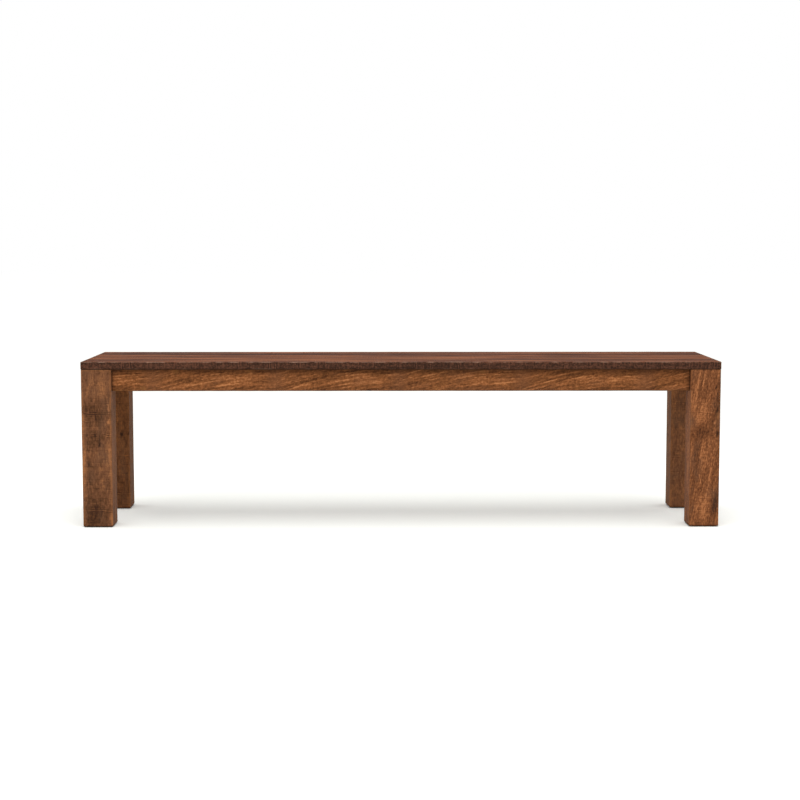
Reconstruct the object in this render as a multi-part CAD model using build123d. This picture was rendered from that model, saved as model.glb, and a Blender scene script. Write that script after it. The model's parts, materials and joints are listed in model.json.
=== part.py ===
"""Dining bench with four block legs, a recessed apron frame and a seat of edge-joined boards.

The frame is put together with haunched and mitred mortise-and-tenon joints. Flat cross
rails are dovetailed into the long aprons from above, corner blocks brace the legs, and
wooden buttons hold the seat down while they let it shrink and swell.

Lengths are millimetres. X runs along the bench, Y from its front to its back, Z up from
the floor. The origin is on the floor, under the middle of the seat.
"""

import os
from itertools import product
from math import sqrt

from build123d import *

# Overall sizes
bench_length = 1780.0
bench_depth = 410.0
bench_height = 464.0

# Seat boards, front to back
seat_board_names = (
    "seat_board_front",
    "seat_board_front_inner",
    "seat_board_back_inner",
    "seat_board_back",
)
seat_thickness = 21.0
seat_overhang = 0.5
seat_arris_chamfer = 1.2
board_groove_depth = 0.5

# Loose tongues glued into the edges of the boards, stopped short of their ends
tongue_names = ("seat_tongue_front", "seat_tongue_middle", "seat_tongue_back")
tongue_width = 18.0
tongue_thickness = 6.0
tongue_edge_room = 0.5
tongue_stop = 40.0

# Legs
leg_width = 83.0
leg_depth = 83.0
leg_arris_radius = 2.5
leg_top_chamfer = 0.8
leg_foot_chamfer = 1.5
leg_corner_cut = 12.0
leg_corner_cut_room = 8.0

# Aprons
apron_height = 62.0
apron_thickness = 22.0
apron_recess = 20.0
apron_arris_chamfer = 1.2

# Haunched tenons on the aprons, mitred where two meet in a leg
tenon_thickness = 8.0
tenon_bottom_shoulder = 5.0
tenon_mitre_gap = 1.0
haunch_height = 14.0
haunch_length = 10.0
mortise_end_room = 1.0
glue_clearance = 0.1

# Cross rails and buttons are of one thickness, so the same screw holds the seat to both
fixing_thickness = 22.0

# Cross rails, laid flat under the seat, with a dovetail at each end
cross_rail_names = ("cross_rail_left", "cross_rail_right")
cross_rail_place_shares = (-0.17, 0.17)
cross_rail_width = 60.0
cross_rail_chamfer = 1.5
tail_length = 13.0
tail_thickness = 12.0
tail_side_shoulder = 9.0
tail_flare = 3.0

# Wooden buttons, each hooked into a slot in a long apron
button_width = 30.0
button_reach = 24.0
button_top_gap = 0.3
button_side_gap = 2.0
button_chamfer = 1.5
button_block_distance = 40.0
button_tongue_thickness = 6.0
button_slot_depth = 8.0
button_slot_drop = 10.0
button_slot_room = 1.0

# Corner blocks behind the legs, with a lip at each end that is let into an apron
block_thickness = 24.0
block_height = 40.0
block_drop = 5.0
block_chamfer = 1.5
block_lip_thickness = 8.0
block_lip_depth = 6.0
block_lip_room = 0.5

# Slotted screws that hold the seat to the cross rails and the buttons
screw_diameter = 4.0
screw_head_diameter = 8.5
screw_head_height = 2.4
screw_slot_width = 1.0
screw_slot_depth = 1.2
seat_screw_cover = 7.0
thread_clearance = 0.05
shank_clearance = 0.2
hole_end_room = 1.0

# Coach screw with a flanged head, from each corner block into its leg
coach_screw_diameter = 6.0
coach_screw_mortise_wall = 6.0
coach_head_sides = 6
coach_head_across_flats = 10.0
coach_head_height = 4.0
coach_flange_diameter = 17.0
coach_flange_thickness = 1.5

# Glides under the feet
glide_diameter = 28.0
glide_thickness = 2.0

# One overrun for every cut that leaves a face
cut_overrun = 5.0

# Levels
seat_underside = bench_height - seat_thickness
apron_bottom = seat_underside - apron_height
tenon_bottom = apron_bottom + tenon_bottom_shoulder
tenon_top = seat_underside - haunch_height
fixing_underside = seat_underside - fixing_thickness
button_slot_top = seat_underside - button_slot_drop
block_top = seat_underside - block_drop
block_bottom = block_top - block_height
block_middle = (block_bottom + block_top) / 2
tongue_level = seat_underside + seat_thickness / 2

# Plan lines of the back right corner, which the other corners mirror
leg_outer_x = bench_length / 2 - seat_overhang
leg_outer_y = bench_depth / 2 - seat_overhang
leg_inner_x = leg_outer_x - leg_width
leg_inner_y = leg_outer_y - leg_depth
leg_middle_x = (leg_inner_x + leg_outer_x) / 2
leg_middle_y = (leg_inner_y + leg_outer_y) / 2
apron_outer_x = leg_outer_x - apron_recess
apron_outer_y = leg_outer_y - apron_recess
apron_inner_x = apron_outer_x - apron_thickness
apron_inner_y = apron_outer_y - apron_thickness
apron_middle_x = (apron_inner_x + apron_outer_x) / 2
apron_middle_y = (apron_inner_y + apron_outer_y) / 2

# A corner block lies square across its corner, so x + y is the same all along a long face
block_outer_sum = leg_inner_x + leg_inner_y + leg_corner_cut
block_inner_sum = block_outer_sum - block_thickness * sqrt(2)
block_middle_sum = (block_outer_sum + block_inner_sum) / 2

# Coach screw: square to the clipped corner of the leg, with its head on the corner block
corner_axis = (1, 1, 0)
clip_x = leg_inner_x + leg_corner_cut / 2
clip_y = leg_inner_y + leg_corner_cut / 2
wood_to_mortise = min(apron_middle_x - clip_x, apron_middle_y - clip_y) - tenon_thickness / 2
coach_screw_bite = (wood_to_mortise - coach_screw_mortise_wall) * sqrt(2)
coach_screw_length = block_thickness + coach_screw_bite
coach_head_offset = block_thickness / sqrt(2)
coach_head_seat = (clip_x - coach_head_offset, clip_y - coach_head_offset, block_middle)

# Places along and across the bench
board_width = bench_depth / len(seat_board_names)
board_starts = [place * board_width - bench_depth / 2 for place in range(len(seat_board_names))]
rail_xs = [share * bench_length for share in cross_rail_place_shares]
outer_button_x = block_inner_sum - apron_inner_y - button_block_distance
button_xs = (-outer_button_x, 0, outer_button_x)
button_screw_inset = button_side_gap + button_reach / 2

# Seat screws stop short of the seat face by their cover
seat_screw_length = fixing_thickness + seat_thickness - seat_screw_cover


def squared(low, high):
    """Square-edged solid between its lowest and highest corners."""
    size = [end - start for start, end in zip(low, high)]
    middle = [(start + end) / 2 for start, end in zip(low, high)]
    return Pos(*middle) * Box(*size)


def upright(outline, low, high):
    """Upright prism over a plan outline, between two levels."""
    return extrude(Pos(0, 0, low) * Polygon(*outline, align=None), high - low, dir=(0, 0, 1))


def rod(radius, length):
    """Round rod that starts at the origin and runs along +Z."""
    return Cylinder(radius, length, align=(Align.CENTER, Align.CENTER, Align.MIN))


def aimed(shape, start, towards):
    """Shape drawn along +Z from the origin, moved to a start and aimed along a direction."""
    return Plane(origin=start, z_dir=towards) * shape


def in_corner(shape, side, end):
    """Shape of the right (1) and back (1), mirrored to the left (-1) or the front (-1)."""
    if side < 0:
        shape = mirror(shape, about=Plane.YZ)
    if end < 0:
        shape = mirror(shape, about=Plane.XZ)
    return shape


def corner_places():
    """Side and end of the four corners."""
    return product((-1, 1), (-1, 1))


# Fasteners

def seat_screw():
    """Slotted wood screw along +Z, with the underside of its head at the origin."""
    head = Pos(0, 0, -screw_head_height) * rod(screw_head_diameter / 2, screw_head_height)
    slot = Box(screw_head_diameter + cut_overrun, screw_slot_width, screw_slot_depth)
    head -= Pos(0, 0, screw_slot_depth / 2 - screw_head_height) * slot
    return head + rod(screw_diameter / 2, seat_screw_length)


def coach_screw():
    """Wood screw along +Z with a flanged hexagon head, whose underside is at the origin."""
    hexagon = RegularPolygon(coach_head_across_flats / 2, coach_head_sides, major_radius=False)
    head = Pos(0, 0, -coach_head_height) * extrude(hexagon, coach_head_height)
    flange = rod(coach_flange_diameter / 2, coach_flange_thickness)
    head += Pos(0, 0, -coach_flange_thickness) * flange
    return head + rod(coach_screw_diameter / 2, coach_screw_length)


def thread_hole(diameter, length):
    """Hole for a thread, a little deeper than the thread is long."""
    return rod(diameter / 2 + thread_clearance, length + hole_end_room)


def shank_hole():
    """Clear hole for the shank of a seat screw, through a cross rail or button above z 0."""
    hole = rod(screw_diameter / 2 + shank_clearance, fixing_thickness + 2 * cut_overrun)
    return Pos(0, 0, -cut_overrun) * hole


# Seat

def tongue(joint, clearance=0, edge_room=0):
    """Loose tongue along a joint between boards, or its groove with a clearance about it."""
    half_width = tongue_width / 2 + edge_room
    half_length = bench_length / 2 - tongue_stop + edge_room
    half_thickness = tongue_thickness / 2 + clearance
    return squared(
        (-half_length, joint - half_width, tongue_level - half_thickness),
        (half_length, joint + half_width, tongue_level + half_thickness),
    )


def rail_screw_places():
    """Points under the cross rails where screws go up into the inner boards."""
    ys = [start + board_width / 2 for start in board_starts[1:-1]]
    return [(x, y, fixing_underside) for x in rail_xs for y in ys]


def button_screw_places():
    """Points under the buttons where screws go up into the two outer boards."""
    y = apron_inner_y - button_screw_inset
    return [(x, end * y, fixing_underside) for x in button_xs for end in (-1, 1)]


def seat_slab():
    """The whole seat with its eased arris, its grooves and every hole in it."""
    half_length, half_depth = bench_length / 2, bench_depth / 2
    low = (-half_length, -half_depth, seat_underside)
    slab = squared(low, (half_length, half_depth, bench_height))
    slab = chamfer(slab.edges(), seat_arris_chamfer)
    groove_side = board_groove_depth * sqrt(2)
    groove = Rot(45, 0, 0) * Box(bench_length + cut_overrun, groove_side, groove_side)
    for joint in board_starts[1:]:
        slab -= Pos(0, joint, bench_height) * groove
        slab -= tongue(joint, glue_clearance, tongue_edge_room)
    screw_hole = thread_hole(screw_diameter, seat_screw_length)
    places = rail_screw_places() + button_screw_places()
    return slab - [Pos(*place) * screw_hole for place in places]


def seat_boards():
    """The boards, cut from one slab so that its eased arris runs across the joints."""
    slab = seat_slab()
    reach = bench_length / 2 + cut_overrun
    low, high = seat_underside - cut_overrun, bench_height + cut_overrun
    boards = {}
    for name, start in zip(seat_board_names, board_starts):
        boards[name] = slab & squared((-reach, start, low), (reach, start + board_width, high))
    return boards


def seat_tongues():
    """One loose tongue for each joint between boards."""
    return {name: tongue(joint) for name, joint in zip(tongue_names, board_starts[1:])}


# Mortises and tenons

def tenon_outline(shoulder, along, across):
    """Plan of a tenon from its shoulder to a mitre about the point where two aprons cross."""
    half = tenon_thickness / 2
    tip = along - tenon_mitre_gap / 2
    return [
        (shoulder, across - half),
        (tip - half, across - half),
        (tip + half, across + half),
        (shoulder, across + half),
    ]


def haunch_outline(shoulder, across, clearance=0, overrun=0):
    """Plan of a haunch, the short stub that keeps the top of an apron from twisting."""
    half = tenon_thickness / 2 + clearance
    start, end = shoulder - overrun, shoulder + haunch_length + clearance
    return [(start, across - half), (end, across - half), (end, across + half), (start, across + half)]


def swapped(outline):
    """The same outline with X and Y changed over."""
    return [(y, x) for x, y in outline]


def long_apron_tenon():
    """Haunched tenon on the right end of the back apron."""
    tenon = tenon_outline(leg_inner_x, apron_middle_x, apron_middle_y)
    haunch = haunch_outline(leg_inner_x, apron_middle_y)
    return upright(tenon, tenon_bottom, tenon_top) + upright(haunch, tenon_top, seat_underside)


def end_apron_tenon():
    """Haunched tenon on the back end of the right apron."""
    tenon = swapped(tenon_outline(leg_inner_y, apron_middle_y, apron_middle_x))
    haunch = swapped(haunch_outline(leg_inner_y, apron_middle_x))
    return upright(tenon, tenon_bottom, tenon_top) + upright(haunch, tenon_top, seat_underside)


def mortises():
    """The two joined mortises of a leg, with the haunch slots that open at its top."""
    half = tenon_thickness / 2 + glue_clearance
    near_x, near_y = leg_inner_x - cut_overrun, leg_inner_y - cut_overrun
    end_x = apron_middle_x + half + mortise_end_room
    end_y = apron_middle_y + half + mortise_end_room
    low, high = tenon_bottom - glue_clearance, tenon_top + glue_clearance
    haunch_x = haunch_outline(leg_inner_x, apron_middle_y, glue_clearance, cut_overrun)
    haunch_y = swapped(haunch_outline(leg_inner_y, apron_middle_x, glue_clearance, cut_overrun))
    return [
        squared((near_x, apron_middle_y - half, low), (end_x, apron_middle_y + half, high)),
        squared((apron_middle_x - half, near_y, low), (apron_middle_x + half, end_y, high)),
        upright(haunch_x, tenon_bottom, seat_underside + cut_overrun),
        upright(haunch_y, tenon_bottom, seat_underside + cut_overrun),
    ]


# Base frame

def leg():
    """Back right leg, with its mortises, a clipped inner corner and its coach screw hole."""
    low = (leg_inner_x, leg_inner_y, glide_thickness)
    post = squared(low, (leg_outer_x, leg_outer_y, seat_underside))
    post = chamfer(post.faces().sort_by(Axis.Z)[0].edges(), leg_foot_chamfer)
    post = chamfer(post.faces().sort_by(Axis.Z)[-1].edges(), leg_top_chamfer)
    post = fillet(post.edges().filter_by(Axis.Z), leg_arris_radius)
    post -= mortises()
    near_x, near_y = leg_inner_x - cut_overrun, leg_inner_y - cut_overrun
    far_x, far_y = block_outer_sum - near_y, block_outer_sum - near_x
    corner = [(near_x, near_y), (far_x, near_y), (near_x, far_y)]
    post -= upright(corner, block_bottom - leg_corner_cut_room, seat_underside + cut_overrun)
    coach_hole = thread_hole(coach_screw_diameter, coach_screw_length)
    return post - aimed(coach_hole, coach_head_seat, corner_axis)


def block_lip_outline(face, clearance=0, room=0, overrun=0):
    """Plan of a corner block's lip along +Y, in an apron whose inner face is at that distance."""
    middle = block_middle_sum - face
    half = block_lip_thickness / 2 + clearance
    start, end = face - overrun, face + block_lip_depth + room
    return [(middle - half, start), (middle + half, start), (middle + half, end), (middle - half, end)]


def block_housing_outline(face):
    """Plan of the housing for a lip, a little deeper and wider than the lip."""
    return block_lip_outline(face, glue_clearance, block_lip_room, cut_overrun)


def dovetail(clearance=0):
    """Tail on the back end of a cross rail at x 0, or its socket with a clearance all round."""
    root = cross_rail_width / 2 - tail_side_shoulder + clearance
    tip = root + tail_flare
    start, end = apron_inner_y - clearance, apron_inner_y + tail_length + clearance
    outline = [(-root, start), (-tip, end), (tip, end), (root, start)]
    return upright(outline, seat_underside - tail_thickness, seat_underside)


def button_slot():
    """Slot in the inner face of the back apron for the tongue of a button at x 0."""
    half = button_width / 2 + button_slot_room
    height = button_tongue_thickness + button_slot_room
    low = (-half, apron_inner_y - cut_overrun, button_slot_top - height)
    return squared(low, (half, apron_inner_y + button_slot_depth, button_slot_top))


def apron_board(low, high, lengthways):
    """Plain board of an apron, with its two lower arrises eased."""
    board = squared(low, high)
    lower_arrises = board.edges().filter_by(lengthways).group_by(Axis.Z)[0]
    return chamfer(lower_arrises, apron_arris_chamfer)


def apron_back():
    """Back apron: board, tenons, dovetail sockets, button slots and housings."""
    low = (-leg_inner_x, apron_inner_y, apron_bottom)
    board = apron_board(low, (leg_inner_x, apron_outer_y, seat_underside), Axis.X)
    board += [long_apron_tenon(), in_corner(long_apron_tenon(), -1, 1)]
    board -= [Pos(x, 0, 0) * dovetail(glue_clearance) for x in rail_xs]
    board -= [Pos(x, 0, 0) * button_slot() for x in button_xs]
    outline = block_housing_outline(apron_inner_y)
    housing = upright(outline, apron_bottom - cut_overrun, seat_underside + cut_overrun)
    return board - [housing, in_corner(housing, -1, 1)]


def apron_right():
    """Right apron: board, tenons and housings."""
    low = (apron_inner_x, -leg_inner_y, apron_bottom)
    board = apron_board(low, (apron_outer_x, leg_inner_y, seat_underside), Axis.Y)
    board += [end_apron_tenon(), in_corner(end_apron_tenon(), 1, -1)]
    outline = swapped(block_housing_outline(apron_inner_x))
    housing = upright(outline, apron_bottom - cut_overrun, seat_underside + cut_overrun)
    return board - [housing, in_corner(housing, 1, -1)]


def cross_rail():
    """Cross rail at x 0, with its dovetails and the holes for its screws."""
    half = cross_rail_width / 2
    rail = squared((-half, -apron_inner_y, fixing_underside), (half, apron_inner_y, seat_underside))
    lower_arrises = rail.edges().filter_by(Axis.Y).group_by(Axis.Z)[0]
    rail = chamfer(lower_arrises, cross_rail_chamfer)
    rail += [dovetail(), in_corner(dovetail(), 1, -1)]
    ys = {y for x, y, level in rail_screw_places()}
    return rail - [Pos(0, y, fixing_underside) * shank_hole() for y in ys]


def corner_block():
    """Brace across the back right corner, let into both aprons and drilled for its coach screw."""
    outline = [
        (block_outer_sum - apron_inner_y, apron_inner_y),
        (apron_inner_x, block_outer_sum - apron_inner_x),
        (apron_inner_x, block_inner_sum - apron_inner_x),
        (block_inner_sum - apron_inner_y, apron_inner_y),
    ]
    brace = upright(outline, block_bottom, block_top)
    long_edges = brace.faces().sort_by(Axis.Z)[0].edges().sort_by(SortBy.LENGTH)[-2:]
    brace = chamfer(long_edges, block_chamfer)
    lips = [block_lip_outline(apron_inner_y), swapped(block_lip_outline(apron_inner_x))]
    brace += [upright(lip, block_bottom, block_top) for lip in lips]
    coach_hole = rod(coach_screw_diameter / 2 + shank_clearance, coach_screw_length)
    return brace - aimed(coach_hole, coach_head_seat, corner_axis)


def seat_button():
    """Button that reaches over +Y into its slot, with the inner face of the apron at y 0."""
    half = button_width / 2
    low = (-half, -button_side_gap - button_reach, fixing_underside)
    body = squared(low, (half, -button_side_gap, seat_underside - button_top_gap))
    body = chamfer(body.faces().sort_by(Axis.Z)[0].edges(), button_chamfer)
    low = (-half, -button_side_gap, button_slot_top - button_tongue_thickness)
    body += squared(low, (half, button_slot_depth - button_slot_room, button_slot_top))
    return body - Pos(0, -button_screw_inset, fixing_underside) * shank_hole()


def seat_buttons_back():
    """Buttons along the back apron."""
    return Compound([Pos(x, apron_inner_y, 0) * seat_button() for x in button_xs])


def foot_glide():
    """Round glide under the middle of the back right leg."""
    return Pos(leg_middle_x, leg_middle_y, 0) * rod(glide_diameter / 2, glide_thickness)


# Groups of fasteners in their places

def coach_screws():
    """Four coach screws, each through a corner block into its leg."""
    screw = aimed(coach_screw(), coach_head_seat, corner_axis)
    return Compound([in_corner(screw, side, end) for side, end in corner_places()])


def seat_screws():
    """Seat screws, driven up through the cross rails and the buttons."""
    places = rail_screw_places() + button_screw_places()
    return Compound([Pos(*place) * seat_screw() for place in places])


def four_corners_of(stem, piece):
    """A piece of the back right corner and its three mirror images, by name."""
    pieces = {}
    for side, end in corner_places():
        place = f"{'back' if end > 0 else 'front'}_{'right' if side > 0 else 'left'}"
        pieces[f"{stem}_{place}"] = in_corner(piece, side, end)
    return pieces


def build_parts():
    """Every piece of the bench by its name."""
    parts = {**seat_boards(), **seat_tongues()}
    parts.update(four_corners_of("leg", leg()))
    parts.update(four_corners_of("corner_block", corner_block()))
    parts.update(four_corners_of("foot_glide", foot_glide()))
    parts["apron_back"] = apron_back()
    parts["apron_front"] = in_corner(parts["apron_back"], 1, -1)
    parts["apron_right"] = apron_right()
    parts["apron_left"] = in_corner(parts["apron_right"], -1, 1)
    for name, x in zip(cross_rail_names, rail_xs):
        parts[name] = Pos(x, 0, 0) * cross_rail()
    parts["seat_buttons_back"] = seat_buttons_back()
    parts["seat_buttons_front"] = in_corner(parts["seat_buttons_back"], 1, -1)
    parts["seat_screws"] = seat_screws()
    parts["corner_block_coach_screws"] = coach_screws()
    return parts


def main():
    """Write one file for each named piece."""
    os.makedirs("parts", exist_ok=True)
    for name, shape in build_parts().items():
        export_step(shape, f"parts/{name}.step")


main()
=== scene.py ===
"""Looks of the dining bench: worn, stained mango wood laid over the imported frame.

Every board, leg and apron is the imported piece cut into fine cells, with its arrises
rubbed round and its faces left slightly uneven. Each piece then gets solid wood of its
own, so that rings, streaks and saw marks run through it from face to end grain.
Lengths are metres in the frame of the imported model, and sizes named _mm are millimetres.
"""

import json
import logging
import math
from dataclasses import dataclass, replace
from enum import Enum, IntEnum

import bmesh
import bpy
import numpy as np
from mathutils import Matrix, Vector

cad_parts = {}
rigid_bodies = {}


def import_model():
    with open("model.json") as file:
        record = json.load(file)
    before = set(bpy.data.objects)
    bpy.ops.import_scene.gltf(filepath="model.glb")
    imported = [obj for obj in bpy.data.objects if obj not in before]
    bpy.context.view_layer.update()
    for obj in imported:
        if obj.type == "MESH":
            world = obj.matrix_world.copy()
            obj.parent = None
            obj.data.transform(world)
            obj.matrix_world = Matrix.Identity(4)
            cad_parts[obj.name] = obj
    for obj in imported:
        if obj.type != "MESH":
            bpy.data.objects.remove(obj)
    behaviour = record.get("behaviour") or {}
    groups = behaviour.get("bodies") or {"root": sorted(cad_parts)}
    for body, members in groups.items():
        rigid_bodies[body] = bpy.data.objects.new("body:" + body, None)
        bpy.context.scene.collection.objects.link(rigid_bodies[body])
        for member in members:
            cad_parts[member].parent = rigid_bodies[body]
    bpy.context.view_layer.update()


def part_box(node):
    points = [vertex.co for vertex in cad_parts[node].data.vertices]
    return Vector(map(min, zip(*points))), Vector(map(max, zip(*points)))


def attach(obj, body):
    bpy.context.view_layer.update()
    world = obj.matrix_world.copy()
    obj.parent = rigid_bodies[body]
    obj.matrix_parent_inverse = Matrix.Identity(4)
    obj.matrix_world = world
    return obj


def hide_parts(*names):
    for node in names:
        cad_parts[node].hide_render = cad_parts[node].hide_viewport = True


MM = 0.001
# Points that are closer together than this count as one
SAME_PLACE = MM / 1000

ROOT = "root"

log = logging.getLogger("dining_bench")

Socket = bpy.types.NodeSocket
# What can feed an input of a shader node
Feed = Socket | float | tuple[float, ...] | Vector


class Axis(IntEnum):
    """Axis of the bench: along it to the right, from front to back, or up."""

    X = 0
    Y = 1
    Z = 2


class End(IntEnum):
    """End of a piece along an axis."""

    LOW = -1
    HIGH = 1


class Node(str, Enum):
    """Shader nodes that the finishes are made of."""

    ADD_SHADER = "ShaderNodeAddShader"
    ATTRIBUTE = "ShaderNodeAttribute"
    BACKGROUND = "ShaderNodeBackground"
    BUMP = "ShaderNodeBump"
    COMBINE = "ShaderNodeCombineXYZ"
    COORDINATES = "ShaderNodeTexCoord"
    DIFFUSE = "ShaderNodeBsdfDiffuse"
    EMISSION = "ShaderNodeEmission"
    GEOMETRY = "ShaderNodeNewGeometry"
    LIGHT_PATH = "ShaderNodeLightPath"
    MATH = "ShaderNodeMath"
    MIX = "ShaderNodeMix"
    MIX_SHADER = "ShaderNodeMixShader"
    NOISE = "ShaderNodeTexNoise"
    OUTPUT = "ShaderNodeOutputMaterial"
    PRINCIPLED = "ShaderNodeBsdfPrincipled"
    RAMP = "ShaderNodeValToRGB"
    RANGE = "ShaderNodeMapRange"
    SEPARATE = "ShaderNodeSeparateXYZ"
    TRANSPARENT = "ShaderNodeBsdfTransparent"
    VECTOR = "ShaderNodeVectorMath"
    WORLD_OUTPUT = "ShaderNodeOutputWorld"


# Sockets of a Mix node that mixes colours
FACTOR, COLOUR_A, COLOUR_B, COLOUR_OUT = 0, 6, 7, 2

# Setting of a Map Range node that eases in and out
SMOOTH = {"interpolation_type": "SMOOTHSTEP"}

# Numbers kept in the meshes of worn pieces for their materials
WORN = "worn"
# Darkness along the seams: painted shade of gaps and overhangs, with some real grime
GRIME_AND_SHADE = "grime"

WHITE = "FFFFFF"
KNOT_COLOUR = "24130B"
# Near-black of the painted seam shade and grime
GRIME_AND_SHADE_COLOUR = "231109"

# Places of a wood's shades from dark to light, and how bright its edge stain is at each
SHADE_PLACES = (0.05, 0.3, 0.5, 0.7, 0.95)
STAIN_SPREAD = (0.68, 0.89, 1.0, 1.11, 1.32)


def linear(colour: str) -> tuple[float, float, float, float]:
    """Turn an sRGB hex colour to the linear colour that Blender works in.

    Args:
        colour: Six hex digits, red first.

    Returns:
        Linear red, green and blue, with alpha 1.
    """
    shares = [int(colour[start : start + 2], 16) / 255 for start in (0, 2, 4)]
    red, green, blue = (
        share / 12.92 if share <= 0.04045 else ((share + 0.055) / 1.055) ** 2.4
        for share in shares
    )
    return red, green, blue, 1.0


def shaded(colour: str, share: float) -> str:
    """Make a hex colour brighter or darker by a share."""
    parts = (min(255, round(int(colour[start : start + 2], 16) * share)) for start in (0, 2, 4))
    return "".join(f"{part:02X}" for part in parts)


def add(
    tree: bpy.types.NodeTree,
    kind: Node,
    *feeds: Feed,
    inputs: dict[int | str, Feed] | None = None,
    out: int | str = 0,
    **settings: object,
) -> Socket:
    """Add a node to a shader tree, with its settings and what feeds its inputs.

    Args:
        tree: Shader tree that gets the node.
        kind: Which node it is.
        *feeds: Values or output sockets for its first inputs, in their order.
        inputs: Values or output sockets for its other inputs, by their name or place.
        out: Name or place of the output that is wanted.
        **settings: Properties of the node.

    Returns:
        The output socket, or the node's first input where it has no outputs.
    """
    node = tree.nodes.new(kind.value)
    for name, value in settings.items():
        setattr(node, name, value)
    for key, feed in (*enumerate(feeds), *(inputs or {}).items()):
        if isinstance(feed, Socket):
            tree.links.new(feed, node.inputs[key])
        else:
            node.inputs[key].default_value = feed
    return node.outputs[out] if node.outputs else node.inputs[0]


def blank_tree(name: str) -> tuple[bpy.types.Material, bpy.types.NodeTree]:
    """Make a material with an empty shader tree.

    Args:
        name: Name of the material.

    Returns:
        The material and its tree.
    """
    material = bpy.data.materials.new(name)
    material.use_nodes = True
    material.node_tree.nodes.clear()
    return material, material.node_tree


# Wood


class Grain(Enum):
    """Way in which the grain of a piece runs."""

    ALONG_BENCH = (1.0, 0.0, 0.0)
    ACROSS_BENCH = (0.0, 1.0, 0.0)
    UPRIGHT = (0.0, 0.0, 1.0)
    RISING_DIAGONAL = (1.0, 1.0, 0.0)
    FALLING_DIAGONAL = (1.0, -1.0, 0.0)

    def directions(self) -> tuple[Vector, Vector, Vector]:
        """Directions of the grain, each one metre long.

        Returns:
            Direction along the grain, level across it, and square to both.
        """
        along = Vector(self.value).normalized()
        upright = self is Grain.UPRIGHT
        across = Vector((1, 0, 0)) if upright else Vector((0, 0, 1)).cross(along)
        return along, across, along.cross(across)


@dataclass(frozen=True)
class Knot:
    """Knot whose branch ran across the piece.

    Attributes:
        place: Shares of the piece's box from its low corner.
        radius_mm: Radius of the dark heart.
        stretch: How many times longer it shows along the grain.
    """

    place: tuple[float, float, float]
    radius_mm: float
    stretch: float = 1.6


@dataclass(frozen=True)
class Cloud:
    """Soft patch that is lighter or darker than the wood round it.

    Attributes:
        place: Shares of the piece's box from its low corner.
        reach_mm: How far it goes along the grain and across it.
        lift: How much lighter it is, or darker where this is negative.
    """

    place: tuple[float, float, float]
    reach_mm: tuple[float, float]
    lift: float


@dataclass(frozen=True)
class Figure:
    """Swooping figure that comes back at even distances along an apron.

    Attributes:
        pitch_mm: Distance from one bright patch to the next.
        first_patch_mm: Place of one patch, from the middle of the piece.
        patch_mm: Reach of a patch along the grain and across it.
        patch_level_mm: Height of a patch over the middle of the piece.
        patch_lift: How much lighter a patch is.
        patch_sawn: How much deeper its saw marks are.
        climb_mm: How far the grain climbs from one grey band to the next.
        climb_bend: Bend of that climb, 1 for a straight one and more for one that levels out.
        grey_lead_mm: Distance from a patch on to its grey band.
        grey_reach_mm: Half width of that band.
        grey_share: How far that band turns grey.
    """

    pitch_mm: float
    first_patch_mm: float
    patch_mm: tuple[float, float] = (74.0, 19.0)
    patch_level_mm: float = 1.0
    patch_lift: float = 0.17
    patch_sawn: float = 1.0
    climb_mm: float = 58.0
    climb_bend: float = 1.8
    grey_lead_mm: float = 112.0
    grey_reach_mm: float = 46.0
    grey_share: float = 0.45


@dataclass(frozen=True)
class Cut:
    """How one piece was cut from its log.

    Attributes:
        grain: Way the grain runs.
        pith_mm: Place of the pith from the middle of the piece, across the grain.
        seed: Number that picks this piece's own streaks and marks.
        tone: How much lighter or darker the piece is than its wood.
        knots: Knots that show on it.
        clouds: Lighter and darker patches on it.
        lean: How far the grain leans over for each unit along it.
        sawn: Patches with deeper saw marks, whose lift is how much deeper they are.
        figure: Figure along the piece, if it has one.
    """

    grain: Grain
    pith_mm: tuple[float, float]
    seed: float
    tone: float = 0.0
    knots: tuple[Knot, ...] = ()
    clouds: tuple[Cloud, ...] = ()
    lean: float = 0.0
    sawn: tuple[Cloud, ...] = ()
    figure: Figure | None = None


@dataclass(frozen=True)
class Layer:
    """One layer of lighter and darker marks in wood.

    Attributes:
        size_mm: Length of a mark along the grain and its width across it.
        strength: How far it moves the tone.
        detail: Number of finer marks within it.
        sparse: Whether only the strongest of its light marks show, as crisp streaks.
    """

    size_mm: tuple[float, float]
    strength: float
    detail: float = 2.0
    sparse: bool = False


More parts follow.
